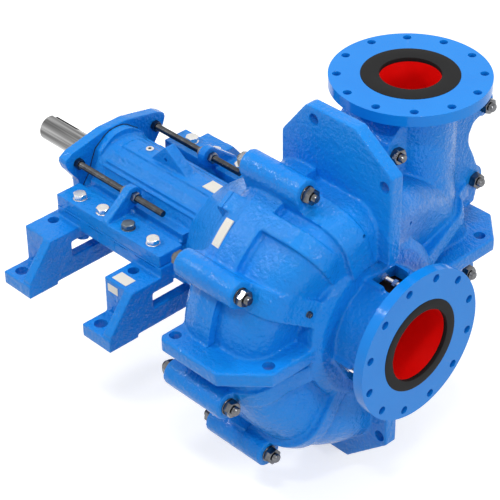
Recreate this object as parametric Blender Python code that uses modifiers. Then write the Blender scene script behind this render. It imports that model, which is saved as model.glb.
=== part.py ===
"""Horizontal slurry pump with an overhung impeller, as an assembly of separate pieces.

Metres, +Z up, +X along the shaft towards the suction flange, +Y towards the discharge.
The origin is the centre of the four foot pads, on the plane they rest on.
"""
import math

import bmesh
import bpy
from mathutils import Matrix

# Fits
gap = 0.0003
running_gap = 0.0014
hole_clearance = 0.0008

# Sides of the round pieces that fit in each other, so that their flats line up
round_sides = 24
neck_sides = 32

# Shaft line and the two flanges, both 14 inch class 150
shaft_height = 0.231
suction_face_x = 1.170
discharge_x = 0.730
discharge_y = 0.405
discharge_rise = 0.641
flange_radius = 0.2667
flange_thickness = 0.038
flange_bolt_circle = 0.23813
flange_bolt_count = 12
flange_hole_radius = 0.0143
suction_bore = 0.127
discharge_bore = 0.1016
discharge_neck_radius = 0.1592
joint_ring_radius = 0.1625
joint_ring_proud = 0.0015
joint_ring_depth = 0.014

# Casing: a spiral shell split at the discharge centre line
casing_rear_x = 0.570
casing_wall = 0.030
dome_start_radius = 0.440
dome_growth = 0.160
dome_growth_power = 1.5
tongue_angle = 65.0
dome_front_x = 0.948
dome_front_swing = 0.048
dome_corner = 0.090
dome_corner_growth = 0.060
dome_corner_angle = 262.0
rim_step = 0.027
split_overlap = 0.006
casing_steps = 36
cavity_turn = 1.7
collar_turn = 4.3
weld_distance = 0.000005
centre_bore = 0.160
neck_radius = 0.195
neck_bore = 0.168
neck_lip = 0.030
collar_radius = 0.285
collar_x = 0.967
collar_nose_radius = 0.255
collar_nose = 0.019
window_angles = (90.0, 210.0, 330.0)
window_start_x = 1.005
window_length = 0.080
window_width = 0.110
bush_stud_circle = 0.182
bush_stud_radius = 0.008
bush_nut_flats = 0.024

# Long bolts round the spiral: angle from +Y towards +Z, radius from the shaft
spiral_bolts = (
    (108.5, 0.513), (151.2, 0.515), (196.8, 0.534), (233.9, 0.568), (274.7, 0.631),
    (308.0, 0.655), (341.6, 0.663),
)
# Long bolts beside the discharge neck: offset from its centre line, height above the shaft
neck_bolts = ((0.234, 0.174), (0.268, 0.455), (-0.172, 0.454))
# Arms that tie the bolts to the collar: angle, bolt radius, width, rise above the shell
arms = (
    (108.5, 0.513, 0.092, 0.012), (151.2, 0.515, 0.092, 0.012), (196.8, 0.534, 0.070, 0.012),
    (233.9, 0.568, 0.056, 0.020), (274.7, 0.631, 0.056, 0.020), (308.0, 0.655, 0.056, 0.020),
    (341.6, 0.663, 0.056, 0.020), (15.2, 0.662, 0.056, 0.020),
)
arm_end = 0.004
band_angle = 123.5
band_width = 0.066
band_shoulder_rise = 0.020
band_front_rise = 0.008
boss_radius = 0.048
boss_front_x = 0.825
casing_bolt_radius = 0.015
casing_nut_flats = 0.050
casing_nut_height = 0.026
nut_seat = 0.034

# Lifting fins: angle, then outline points as x and radius, then the two hole centres
fin_thickness = 0.050
fin_hole_radius = 0.0205

# Liner
liner_wall = 0.028
liner_half_width = 0.105
liner_eye = 0.215
liner_clearance = 0.003

# Base frame
foot_pitch = 0.426
foot_length = 0.142
foot_reach = 0.542
foot_hole_y = foot_reach - 0.045
foot_hole_radius = 0.0235
foot_hole_back = 0.027
foot_tab_start = 0.435
foot_tab_height = 0.050
pad_start = 0.416
beam_lift = 0.0125
beam_top = shaft_height - 0.147
beam_thickness = 0.040
upright_start = 0.344
window_top = shaft_height - 0.085
pedestal_top = shaft_height - 0.040
jack_hole_radius = 0.020
gusset_thickness = 0.040
rail_inner = 0.200
rail_outer = 0.305
rail_bottom = shaft_height - 0.057
rail_top = shaft_height - 0.0033
ledge_split = 0.2453
rail_front_x = 0.360

# Hood between the cradle and the casing
hood_rear_x = 0.290
hood_rear_radius = 0.200
hood_front_radius = 0.400
hood_wall = 0.022
hood_mouth = 0.150
nose_start_x = 0.500
nose_rise = 0.070
nose_radius = hood_front_radius + nose_rise

# Clamp bars, bolts and ears
bar_rear_x = -0.260
bar_front_x = 0.278
bar_bottom = shaft_height - 0.003
bar_thickness = 0.045
clamp_bolt_xs = (-0.181, -0.058, 0.075, 0.201)
clamp_bolt_y = 0.264
clamp_bolt_radius = 0.0135
clamp_head_flats = 0.043
clamp_head_height = 0.018
ear_front_x = 0.012
ear_thickness = 0.034
ear_radius = 0.036

# Adjusting rods and nuts
rod_y = 0.180
rod_rise = 0.100
rod_radius = 0.012
rod_front_x = 0.163
rod_tail = 0.030
rod_nut_flats = 0.036
rod_nut_height = 0.019
rod_hole_clearance = 0.0025

# Bearing cartridge
housing_radius = 0.138
housing_bore = 0.105
housing_waist_bore = 0.095
housing_rear_x = -0.290
housing_front_x = 0.270
housing_flange_radius = 0.144
end_plate_thickness = 0.040
wing_outer = 0.245
wing_bottom = shaft_height - 0.045
bearing_width = 0.060
bearing_inset = 0.025
outer_race_wall = 0.0165
front_cover_thickness = 0.013
front_cover_radius = 0.126
cover_bore = 0.058
lug_y = 0.005
lug_thickness = 0.045
lug_peak_x = -0.006
lug_peak_rise = 0.218
breather_radius = 0.010
breather_x = -0.121
breather_y = 0.012
breather_rise = 0.146
breather_cap = 0.0045

# Rotor
shaft_end_x = -0.680
shaft_radius = 0.0475
bearing_seat = 0.055
shaft_waist = 0.065
sleeve_seat = 0.045
sleeve_radius = 0.058
sleeve_rear_x = 0.350
shaft_step = 0.050
thread_radius = 0.040
thread_end_x = 0.720
keyway_width = 0.025
keyway_depth = 0.009
keyway_length = 0.150
keyway_turn = 34.0
impeller_radius = 0.300
impeller_eye = 0.120
shroud = 0.020
impeller_rear_x = 0.652
impeller_front_gap = 0.0012
vane_count = 5
vane_thickness = 0.022
vane_inner = 0.125
vane_sweep = 95.0

# Stuffing box
box_rear_x = 0.430
box_radius = 0.100
box_flange_radius = 0.125
box_chamber = 0.078
box_throat = 0.060
gland_flange_radius = 0.122
gland_bolt_circle = 0.110
gland_bolt_radius = 0.006
gland_rear_x = 0.385
packing_end_x = 0.550


def clear_scene():
    for item in list(bpy.data.objects):
        bpy.data.objects.remove(item, do_unlink=True)


def make_collection(name):
    group = bpy.data.collections.new(name)
    bpy.context.scene.collection.children.link(group)
    return group


def make_material(name, colour, roughness, metallic):
    material = bpy.data.materials.new(name)
    material.use_nodes = True
    shader = material.node_tree.nodes["Principled BSDF"]
    shader.inputs["Base Color"].default_value = (*colour, 1.0)
    shader.inputs["Roughness"].default_value = roughness
    shader.inputs["Metallic"].default_value = metallic
    return material


clear_scene()
pump = make_collection("slurry_pump")
cutters = make_collection("cutters")
blue_paint = make_material("blue_paint", (0.013, 0.213, 0.791), 0.25, 0.0)
red_liner = make_material("red_liner", (0.75, 0.003, 0.002), 0.4, 0.0)
black_rubber = make_material("black_rubber", (0.02, 0.02, 0.02), 0.7, 0.0)
dark_steel = make_material("dark_steel", (0.17, 0.16, 0.15), 0.35, 1.0)
bright_steel = make_material("bright_steel", (0.55, 0.55, 0.54), 0.25, 1.0)
cast_iron = make_material("cast_iron", (0.12, 0.12, 0.125), 0.6, 0.6)
packing_fibre = make_material("packing_fibre", (0.35, 0.30, 0.2), 0.9, 0.0)

# Frames for outlines: along the shaft at an angle, across the shaft, and flat
to_shaft = Matrix.Translation((0.0, 0.0, shaft_height))
turn_to_x = Matrix.Rotation(math.radians(90.0), 4, "Y")


def radial_frame(angle):
    """Local x runs along the shaft and local y away from it at the angle."""
    c = math.cos(math.radians(angle))
    s = math.sin(math.radians(angle))
    turn = Matrix(((1, 0, 0, 0), (0, c, -s, 0), (0, s, c, 0), (0, 0, 0, 1)))
    return to_shaft @ turn


def across_frame(x):
    """Local x is world Y, local y is the height above the shaft, local z is world X."""
    turn = Matrix(((0, 0, 1, 0), (1, 0, 0, 0), (0, 1, 0, 0), (0, 0, 0, 1)))
    return Matrix.Translation((x, 0.0, shaft_height)) @ turn


def polar(angle, radius):
    return radius * math.cos(math.radians(angle)), radius * math.sin(math.radians(angle))


def link(name, mesh, group=None):
    item = bpy.data.objects.new(name, mesh)
    (group or cutters).objects.link(item)
    return item


def finish_mesh(build, name, matrix):
    bmesh.ops.recalc_face_normals(build, faces=build.faces)
    mesh = bpy.data.meshes.new(name)
    build.to_mesh(mesh)
    build.free()
    mesh.transform(matrix)
    return link(name, mesh)


def box(x0, x1, y0, y1, z0, z1, name="box"):
    """A block between world coordinates."""
    build = bmesh.new()
    bmesh.ops.create_cube(build, size=1.0)
    size = Matrix.Diagonal((x1 - x0, y1 - y0, z1 - z0, 1.0))
    middle = Matrix.Translation(((x0 + x1) / 2, (y0 + y1) / 2, (z0 + z1) / 2))
    return finish_mesh(build, name, middle @ size)


def cylinder(radius, start, end, frame, sides=24, name="cylinder", end_radius=None):
    """A cylinder or cone along the frame's local z, from start to end."""
    build = bmesh.new()
    top = radius if end_radius is None else end_radius
    bmesh.ops.create_cone(build, cap_ends=True, segments=sides, radius1=radius, radius2=top,
                          depth=end - start)
    return finish_mesh(build, name, frame @ Matrix.Translation((0.0, 0.0, (start + end) / 2)))


def shaft_cylinder(radius, start, end, sides=24, y=0.0, rise=0.0, end_radius=None):
    """A cylinder parallel to the shaft, between two x positions."""
    frame = Matrix.Translation((0.0, y, shaft_height + rise)) @ turn_to_x
    return cylinder(radius, start, end, frame, sides, end_radius=end_radius)


def prism(outline, thickness, frame, name="prism"):
    """A flat outline as a filled curve, thickened both ways from its plane."""
    curve = bpy.data.curves.new(name, "CURVE")
    curve.dimensions = "2D"
    curve.fill_mode = "BOTH"
    curve.extrude = thickness / 2
    spline = curve.splines.new("POLY")
    spline.points.add(len(outline) - 1)
    for point, place in zip(spline.points, outline):
        point.co = (place[0], place[1], 0.0, 1.0)
    spline.use_cyclic_u = True
    holder = link(name, curve)
    bpy.context.view_layer.update()
    graph = bpy.context.evaluated_depsgraph_get()
    mesh = bpy.data.meshes.new_from_object(holder.evaluated_get(graph))
    bpy.data.objects.remove(holder, do_unlink=True)
    build = bmesh.new()
    build.from_mesh(mesh)
    bmesh.ops.remove_doubles(build, verts=build.verts, dist=0.00002)
    return finish_mesh(build, name, frame)


def turned(profile, sides=40, name="turned"):
    """A closed profile of x and radius points, turned about the shaft."""
    build = bmesh.new()
    corners = [build.verts.new((radius, 0.0, x)) for x, radius in profile]
    for first, second in zip(corners, corners[1:] + corners[:1]):
        build.edges.new((first, second))
    mesh = bpy.data.meshes.new(name)
    build.to_mesh(mesh)
    build.free()
    holder = link(name, mesh)
    screw = holder.modifiers.new("Turn", "SCREW")
    screw.steps = sides
    screw.render_steps = sides
    screw.use_merge_vertices = True
    screw.merge_threshold = 0.00001
    solid = apply_modifiers(holder)
    solid.data.transform(to_shaft @ turn_to_x)
    return solid


def turned_solid(profile, sides=40, name="turned"):
    """A profile that starts and ends on the shaft line, as a solid piece."""
    whole = [(profile[0][0], 0.0)] + list(profile) + [(profile[-1][0], 0.0)]
    build = bmesh.new()
    corners = [build.verts.new((radius, 0.0, x)) for x, radius in whole]
    for first, second in zip(corners, corners[1:]):
        build.edges.new((first, second))
    mesh = bpy.data.meshes.new(name)
    build.to_mesh(mesh)
    build.free()
    holder = link(name, mesh)
    screw = holder.modifiers.new("Turn", "SCREW")
    screw.steps = sides
    screw.render_steps = sides
    screw.use_merge_vertices = True
    screw.merge_threshold = 0.00001
    solid = apply_modifiers(holder)
    solid.data.transform(to_shaft @ turn_to_x)
    return solid


def turn_about_shaft(item, degrees):
    spin = Matrix.Rotation(math.radians(degrees), 4, "X")
    item.data.transform(to_shaft @ spin @ to_shaft.inverted())


def swept_ring(section, steps, turn=0.0, name="swept"):
    """Closed sections of x and radius that change with the angle, joined round the shaft."""
    build = bmesh.new()
    rings = []
    for step in range(steps):
        angle = turn + 360.0 * step / steps
        ring = [build.verts.new((x, *polar(angle, radius))) for x, radius in section(angle)]
        rings.append(ring)
    count = len(rings[0])
    for step in range(steps):
        here = rings[step]
        following = rings[(step + 1) % steps]
        for k in range(count):
            m = (k + 1) % count
            build.faces.new((here[k], here[m], following[m], following[k]))
    return finish_mesh(build, name, to_shaft)


def apply_modifiers(item):
    """Bake an object's modifiers into its mesh, with its faces pointing out."""
    bpy.context.view_layer.update()
    graph = bpy.context.evaluated_depsgraph_get()
    mesh = bpy.data.meshes.new_from_object(item.evaluated_get(graph))
    item.modifiers.clear()
    item.data = mesh
    build = bmesh.new()
    build.from_mesh(mesh)
    bmesh.ops.recalc_face_normals(build, faces=build.faces)
    build.to_mesh(mesh)
    build.free()
    return item


def combine(target, tools, operation, solver="EXACT"):
    for tool in tools:
        step = target.modifiers.new(operation.lower(), "BOOLEAN")
        step.operation = operation
        step.solver = solver
        step.object = tool
    apply_modifiers(target)
    for tool in tools:
        bpy.data.objects.remove(tool, do_unlink=True)
    return target


def join(target, *tools):
    return combine(target, tools, "UNION")


def cut(target, *tools):
    return combine(target, tools, "DIFFERENCE")


def cast_join(target, *tools):
    """Join crossing castings, whose near-flush walls the exact solver leaves open."""
    return combine(target, tools, "UNION", "MANIFOLD")


def cast_cut(target, *tools):
    return combine(target, tools, "DIFFERENCE", "MANIFOLD")


def cast_keep(target, tool):
    return combine(target, [tool], "INTERSECT", "MANIFOLD")


def make_pivot(name, place, parent=None):
    """An empty on a joint's axis, which the pieces that move on it hang from."""
    pivot = bpy.data.objects.new(name, None)
    pump.objects.link(pivot)
    pivot.parent = parent
    bpy.context.view_layer.update()
    pivot.matrix_world = Matrix.Translation(place)
    bpy.context.view_layer.update()
    return pivot


def publish(item, name, material, pivot=None, smooth_angle=32.0):
    """Give a finished solid its name, material and shading, and put it in the pump."""
    build = bmesh.new()
    build.from_mesh(item.data)
    bmesh.ops.remove_doubles(build, verts=build.verts, dist=weld_distance)
    bmesh.ops.dissolve_degenerate(build, edges=build.edges, dist=weld_distance)
    bmesh.ops.dissolve_limit(build, angle_limit=0.004, verts=build.verts, edges=build.edges)
    build.to_mesh(item.data)
    build.free()
    item.name = name
    item.data.name = name
    item.data.materials.clear()
    item.data.materials.append(material)
    item.data.shade_smooth()
    item.data.set_sharp_from_angle(angle=math.radians(smooth_angle))
    if pivot is not None:
        item.data.transform(pivot.matrix_world.inverted())
        item.parent = pivot
    cutters.objects.unlink(item)
    pump.objects.link(item)
    return item


def hexagon(flats, start, end, frame):
    return cylinder(flats / math.sqrt(3.0), start, end, frame, sides=6)


# Shapes of the spiral casing

def spiral_share(angle):
    """How far round the spiral an angle is: 0 at the tongue, 1 at the discharge side."""
    turned_by = (angle - tongue_angle) % 360.0
    if turned_by <= 360.0 - tongue_angle:
        return turned_by / (360.0 - tongue_angle)
    return 1.0 - (turned_by - (360.0 - tongue_angle)) / tongue_angle


def dome_radius(angle):
    return dome_start_radius + dome_growth * spiral_share(angle) ** dome_growth_power


def dome_front(angle):
    return dome_front_x - dome_front_swing * math.cos(math.radians(2.0 * angle))


def shoulder_radius(angle):
    """The dome's corner, which is rounder at the bottom."""
    share = max(0.0, math.cos(math.radians(angle - dome_corner_angle)))
    return dome_corner + dome_corner_growth * share ** 2


def cover_section(angle):
    """The front half's wall: outer skin from the split to the neck, then back inside."""
    radius = dome_radius(angle)
    front = dome_front(angle)
    corner = shoulder_radius(angle)
    skin = [(discharge_x - split_overlap, radius)]
    for share in (0.0, 0.5, 1.0):
        bend = math.radians(90.0 * share)
        skin.append((front - corner * (1.0 - math.sin(bend)), radius - corner * (1.0 - math.cos(bend))))
    skin.append((front, neck_radius - 0.010))
    inner_corner = corner - casing_wall
    lining = [(front - casing_wall, neck_radius - 0.010)]
    for share in (1.0, 0.0):
        bend = math.radians(90.0 * share)
        lining.append((front - casing_wall - inner_corner * (1.0 - math.sin(bend)),
                       radius - casing_wall - inner_corner * (1.0 - math.cos(bend))))
    lining.append((discharge_x - split_overlap, radius - casing_wall))
    return skin + lining


def frame_plate_section(angle):
    """The rear half's wall, a step proud of the front half's."""
    radius = dome_radius(angle)
    corner = dome_corner * 0.5
    rim = radius + rim_step
    inside = radius - casing_wall
    rear_face = discharge_x - liner_half_width - liner_wall - 2.0 * gap
    return [
        (discharge_x + split_overlap, rim),
        (casing_rear_x + corner * 1.9, rim),
        (casing_rear_x + corner * 0.7, rim - corner * 0.45),
        (casing_rear_x, rim - corner),
        (casing_rear_x, centre_bore - 0.010),
        (rear_face, centre_bore - 0.010),
        (rear_face, inside),
        (discharge_x + split_overlap, inside),
    ]


def liner_radius(angle):
    return dome_radius(angle) - casing_wall - liner_clearance


def liner_section(angle):
    """A channel open towards the impeller."""
    radius = liner_radius(angle)
    rear = discharge_x - liner_half_width
    front = discharge_x + liner_half_width
    return [
        (rear - liner_wall, liner_eye),
        (rear - liner_wall, radius),
        (front + liner_wall, radius),
        (front + liner_wall, liner_eye),
        (front, liner_eye),
        (front, radius - liner_wall),
        (rear, radius - liner_wall),
        (rear, liner_eye),
    ]


def discharge_cylinder(radius, low, high, sides=28):
    """A vertical cylinder on the discharge line, heights above the shaft."""
    frame = Matrix.Translation((discharge_x, discharge_y, shaft_height))
    return cylinder(radius, low, high, frame, sides)


def half_space(front):
    """A block that covers everything behind or in front of the casing's split."""
    if front:
        return box(discharge_x + gap / 2, 2.0, -1.5, 1.5, -1.5, 1.5)
    return box(-2.0, discharge_x - gap / 2, -1.5, 1.5, -1.5, 1.5)


def wall_middle(angle, start_x):
    """Points along the middle of the shell's wall, from start_x round to the neck."""
    radius = dome_radius(angle) - casing_wall / 2
    front = dome_front(angle) - casing_wall / 2
    corner = shoulder_radius(angle) - casing_wall / 2
    return [(start_x, radius), (front - corner, radius),
            (front - corner * 0.3, radius - corner * 0.3), (front, radius - corner),
            (front, collar_radius - 0.035)]


def fin_shapes():
    """Each fin's angle, outer edge as x and radius points, and hole centres."""
    top = [(1.050, 0.250), (1.050, 0.577), (0.890, 0.690), (0.690, 0.690), (0.676, 0.684),
           (0.576, 0.555)]
    near = [(0.975, 0.250), (0.973, 0.458), (0.845, 0.580), (0.595, 0.580), (0.579, 0.565)]
    far = [(0.975, 0.250), (0.974, 0.590), (0.870, 0.695), (0.595, 0.695), (0.579, 0.680)]
    bottom = [(1.063, 0.250), (1.063, 0.470), (0.890, 0.620), (0.640, 0.620), (0.576, 0.550)]
    return (
        (90.0, top, ((0.716, 0.647), (1.018, 0.536))),
        (180.0, near, ((0.612, 0.535), (0.931, 0.434))),
        (0.0, far, ((0.612, 0.650), (0.928, 0.567))),
        (270.0, bottom, ((0.616, 0.570), (1.034, 0.444))),
    )


def bolt_places():
    """Every long bolt's centre as y and height above the shaft."""
    places = [polar(angle, radius) for angle, radius in spiral_bolts]
    return places + [(discharge_y + offset, rise) for offset, rise in neck_bolts]


def casing_extras():
    """The fins, bosses, arms and neck webs, which both halves of the casing share."""
    pieces = []
    for angle, edge, _ in fin_shapes():
        outline = wall_middle(angle, edge[-1][0]) + edge
        pieces.append(prism(outline, fin_thickness, radial_frame(angle)))
    for y, rise in bolt_places():
        pieces.append(shaft_cylinder(boss_radius, casing_rear_x, boss_front_x, 12, y, rise))
    for angle, radius, width, rise in arms:
        pieces.append(prism(arm_outline(angle, radius, rise), width, radial_frame(angle)))
    for offset, rise in neck_bolts:
        low, high = sorted((discharge_y + offset, discharge_y + math.copysign(0.100, offset)))
        pieces.append(box(casing_rear_x + 0.012, boss_front_x - 0.020, low, high,
                          shaft_height + rise - 0.040, shaft_height + rise + 0.040))
    return pieces


def arm_outline(angle, radius, rise):
    """An arm from a bolt's boss over the shell's shoulder and in to the neck."""
    front = dome_front(angle) + rise
    shell = dome_radius(angle)
    corner = shoulder_radius(angle)
    bend = corner * (1.0 - math.sqrt(0.5))
    end = max(collar_x - 0.002, front)
    return wall_middle(angle, casing_rear_x + arm_end) + [
        (end, collar_radius - 0.035), (end, collar_radius - 0.012), (front, shell - corner),
        (front - bend, shell - bend + rise),
        (boss_front_x + 0.020, max(radius - nut_seat - 0.014, shell + rise)),
        (boss_front_x - arm_end, radius - nut_seat), (boss_front_x - arm_end, radius),
        (casing_rear_x + arm_end, radius)]


def band_outline():
    """The raised band without a bolt, from the rim's height at the split to the collar."""
    front = dome_front(band_angle) + band_front_rise
    shell = dome_radius(band_angle)
    corner = shoulder_radius(band_angle)
    bend = corner * (1.0 - math.sqrt(0.5))
    return wall_middle(band_angle, discharge_x - 0.020) + [
        (collar_x - 0.002, collar_radius - 0.035), (collar_x - 0.002, collar_radius - 0.012),
        (front, shell - corner), (front - bend, shell - bend + band_shoulder_rise),
        (discharge_x + 0.020, shell + rim_step - gap), (discharge_x - 0.020, shell + rim_step - gap)]


def bolt_holes(radius, start, end):
    return [shaft_cylinder(radius, start, end, 8, y, rise) for y, rise in bolt_places()]


def fin_holes():
    holes = []
    for angle, _, centres in fin_shapes():
        for x, radius in centres:
            frame = radial_frame(angle) @ Matrix.Translation((x, radius, 0.0))
            holes.append(cylinder(fin_hole_radius, -fin_thickness, fin_thickness, frame, 10))
    return holes


def cavity(front):
    """The space inside the casing that the liner fills, as one closed shape."""
    side = 1 if front else -1
    end = discharge_x + (liner_half_width + liner_wall + gap) * side
    start = discharge_x - 0.010 * side

    def section(angle):
        radius = dome_radius(angle) - casing_wall - gap
        return [(start, 0.02), (start, radius), (end, radius), (end, 0.02)]

    return swept_ring(section, casing_steps, cavity_turn)


def pipe_walls():
    """The discharge neck and the shoulder that leads into it."""
    neck = discharge_cylinder(discharge_neck_radius, 0.05, discharge_rise - flange_thickness - gap)
    return [neck]


def cover_plate():
    body = swept_ring(cover_section, casing_steps)
    extras = casing_extras() + pipe_walls()
    extras.append(prism(band_outline(), band_width, radial_frame(band_angle)))
    keep = half_space(True)
    body = cast_join(body, *extras)
    body = cast_keep(body, keep)
    root = dome_front_x - dome_front_swing - casing_wall / 3
    neck = shaft_cylinder(neck_radius, root, suction_face_x - flange_thickness + 0.001, neck_sides)
    collar = turned_solid([(collar_x + collar_nose, collar_nose_radius), (collar_x, collar_radius),
                           (root + 0.004, collar_radius)], casing_steps)
    turn_about_shaft(collar, collar_turn)
    flange = shaft_cylinder(flange_radius, suction_face_x - flange_thickness, suction_face_x, 40)
    body = cast_join(body, collar, neck, flange)
    hollows = [
        cavity(True),
        shaft_cylinder(neck_bore, 0.840, suction_face_x - neck_lip, neck_sides),
        shaft_cylinder(joint_ring_radius + gap, suction_face_x - joint_ring_depth,
                       suction_face_x + 0.01, neck_sides),
        shaft_cylinder(joint_ring_radius - 0.002, suction_face_x - neck_lip - 0.010,
                       suction_face_x, neck_sides),
        discharge_cylinder(discharge_bore + liner_wall + gap, 0.0, discharge_rise + 0.01),
    ]
    for k in range(flange_bolt_count):
        y, rise = polar(15.0 + 30.0 * k, flange_bolt_circle)
        hollows.append(shaft_cylinder(flange_hole_radius, suction_face_x - flange_thickness - 0.01,
                                      suction_face_x + 0.01, 8, y, rise))
    for angle in window_angles:
        frame = radial_frame(angle) @ Matrix.Translation((window_start_x + window_length / 2, 0.20, 0))
        outline = [(-window_length / 2, -0.06), (window_length / 2, -0.06),
                   (window_length / 2, 0.06), (-window_length / 2, 0.06)]
        hollows.append(prism(outline, window_width, frame))
        y, rise = polar(angle, bush_stud_circle)
        hollows.append(shaft_cylinder(bush_stud_radius + hole_clearance, window_start_x - 0.040,
                                      window_start_x + window_length + 0.025, 8, y, rise))
    hollows += bolt_holes(casing_bolt_radius + hole_clearance, 0.5, 0.9)
    hollows += fin_holes()
    cast_cut(body, *hollows)
    return publish(body, "cover_plate", blue_paint)


def frame_plate():
    body = swept_ring(frame_plate_section, casing_steps)
    start = casing_rear_x + 0.001
    nose = [(start, hood_front_radius), (start, nose_radius), (start + 0.050, nose_radius),
            (start + 0.050, hood_front_radius)]
    extras = casing_extras() + pipe_walls()
    extras.append(prism(nose, band_width, radial_frame(band_angle)))
    body = cast_join(body, *extras)
    body = cast_keep(body, half_space(False))
    hollows = [
        cavity(False),
        shaft_cylinder(centre_bore + gap, 0.5, 0.7, round_sides),
        discharge_cylinder(discharge_bore + liner_wall + gap, 0.0, discharge_rise + 0.01),
    ]
    hollows += bolt_holes(casing_bolt_radius + hole_clearance, 0.5, 0.9)
    hollows += fin_holes()
    cast_cut(body, *hollows)
    return publish(body, "frame_plate", blue_paint)


def discharge_flange():
    """The upper flange, a ring on top of the two halves of the neck."""
    body = discharge_cylinder(flange_radius, discharge_rise - flange_thickness, discharge_rise, 40)
    low = discharge_rise - flange_thickness - 0.01
    high = discharge_rise + 0.01
    hollows = [discharge_cylinder(joint_ring_radius + gap, discharge_rise - joint_ring_depth, high,
                                  neck_sides),
               discharge_cylinder(discharge_bore + liner_wall + gap, low, high)]
    for k in range(flange_bolt_count):
        along, across = polar(15.0 + 30.0 * k, flange_bolt_circle)
        place = Matrix.Translation((discharge_x + along, discharge_y + across, shaft_height))
        hollows.append(cylinder(flange_hole_radius, low, high, place, 8))
    cut(body, *hollows)
    return publish(body, "discharge_flange", blue_paint)


def joint_rings():
    """The rubber rings let into the two flange faces, proud of them."""
    ring = turned([
        (suction_face_x - joint_ring_depth + gap, suction_bore),
        (suction_face_x - joint_ring_depth + gap, joint_ring_radius),
        (suction_face_x + joint_ring_proud, joint_ring_radius),
        (suction_face_x + joint_ring_proud, suction_bore)], neck_sides)
    publish(ring, "suction_joint_ring", black_rubber)
    upper = discharge_cylinder(joint_ring_radius, discharge_rise - joint_ring_depth + gap,
                               discharge_rise + joint_ring_proud, neck_sides)
    cut(upper, discharge_cylinder(discharge_bore, discharge_rise - 0.03, discharge_rise + 0.03, neck_sides))
    publish(upper, "discharge_joint_ring", black_rubber)


def volute_liner():
    """The spiral wear liner: a channel round the impeller and its outlet pipe."""
    body = swept_ring(liner_section, casing_steps, cavity_turn)
    pipe_end = discharge_rise - joint_ring_depth
    pipe = discharge_cylinder(discharge_bore + liner_wall, 0.06, pipe_end)
    inside = discharge_cylinder(discharge_bore, 0.03, pipe_end + 0.01)
    room = swept_ring(liner_room_section, casing_steps, cavity_turn)
    body = cast_join(body, pipe)
    cast_cut(body, inside, room)
    return publish(body, "volute_liner", red_liner)


def liner_room_section(angle):
    radius = liner_radius(angle) - liner_wall - gap
    rear = discharge_x - liner_half_width + gap
    front = discharge_x + liner_half_width - gap
    return [(rear, 0.05), (rear, radius), (front, radius), (front, 0.05)]


def side_liners():
    """The disc behind the impeller and the throat bush in front of it."""
    rear = discharge_x - liner_half_width - liner_wall
    face = discharge_x - liner_half_width
    disc = turned([(rear, 0.105), (rear, liner_eye - gap), (face, liner_eye - gap), (face, 0.105)],
                  casing_steps)
    turn_about_shaft(disc, cavity_turn)
    publish(disc, "frame_plate_liner", red_liner)
    face = discharge_x + liner_half_width
    back = face + liner_wall
    bush = turned([
        (face, suction_bore), (face, liner_eye - gap), (back, liner_eye - gap),
        (back, neck_bore - 0.003), (suction_face_x - neck_lip - gap, neck_bore - 0.003),
        (suction_face_x - neck_lip - gap, joint_ring_radius - 0.0045),
        (suction_face_x - joint_ring_depth, joint_ring_radius - 0.0045),
        (suction_face_x - joint_ring_depth, suction_bore)], casing_steps)
    turn_about_shaft(bush, cavity_turn)
    publish(bush, "throat_bush", red_liner)


def casing_bolts():
    """Long studs through the bosses, with a nut at each end."""
    for number, (y, rise) in enumerate(bolt_places(), 1):
        frame = Matrix.Translation((0.0, y, shaft_height + rise)) @ turn_to_x
        start = casing_rear_x - gap
        end = boss_front_x + gap
        reach = casing_nut_height + 0.016
        body = cylinder(casing_bolt_radius, start - reach, end + reach, frame, 8)
        body = join(body,
                    hexagon(casing_nut_flats, start - casing_nut_height, start, frame),
                    hexagon(casing_nut_flats, end, end + casing_nut_height, frame))
        publish(body, f"casing_bolt_{number}", dark_steel)


def bush_studs():
    """Studs that draw the throat bush forward, seen through the neck's windows."""
    for number, angle in enumerate(window_angles, 1):
        y, rise = polar(angle, bush_stud_circle)
        frame = Matrix.Translation((0.0, y, shaft_height + rise)) @ turn_to_x
        body = cylinder(bush_stud_radius, window_start_x - 0.030, window_start_x + window_length + 0.02,
                        frame, 8)
        body = join(body,
                    hexagon(bush_nut_flats, window_start_x + gap, window_start_x + 0.014, frame),
                    hexagon(bush_nut_flats, window_start_x + 0.046, window_start_x + 0.060, frame))
        publish(body, f"bush_stud_{number}", dark_steel)


def foot_blocks(middle):
    """One pair of feet with the beams between them, as blocks that cross each other."""
    rear = middle - foot_length / 2
    front = middle + foot_length / 2
    pieces = [box(front - beam_thickness, front, -upright_start - 0.02, upright_start + 0.02,
                  beam_lift, beam_top)]
    for side in (-1, 1):
        low, high = sorted((side * upright_start, side * foot_tab_start))
        pieces.append(box(rear, front, low, high, beam_lift, pedestal_top))
        low, high = sorted((side * (ledge_split + 0.004), side * foot_tab_start))
        pieces.append(box(rear, front, low, high, window_top, pedestal_top))
        low, high = sorted((side * pad_start, side * foot_reach))
        pieces.append(box(rear, front, low, high, 0.0, foot_tab_height))
        outline = [(side * (foot_tab_start - 0.02), foot_tab_height - 0.01 - shaft_height),
                   (side * (foot_tab_start - 0.02), pedestal_top - shaft_height),
                   (side * foot_tab_start, pedestal_top - shaft_height),
                   (side * (foot_reach - 0.006), foot_tab_height + 0.012 - shaft_height),
                   (side * (foot_reach - 0.006), foot_tab_height - 0.01 - shaft_height)]
        pieces.append(prism(outline, gusset_thickness, across_frame(front - gusset_thickness / 2)))
    return pieces


def vertical_hole(radius, x, y, low, high, sides=12):
    return cylinder(radius, low, high, Matrix.Translation((x, y, 0.0)), sides)


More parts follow.
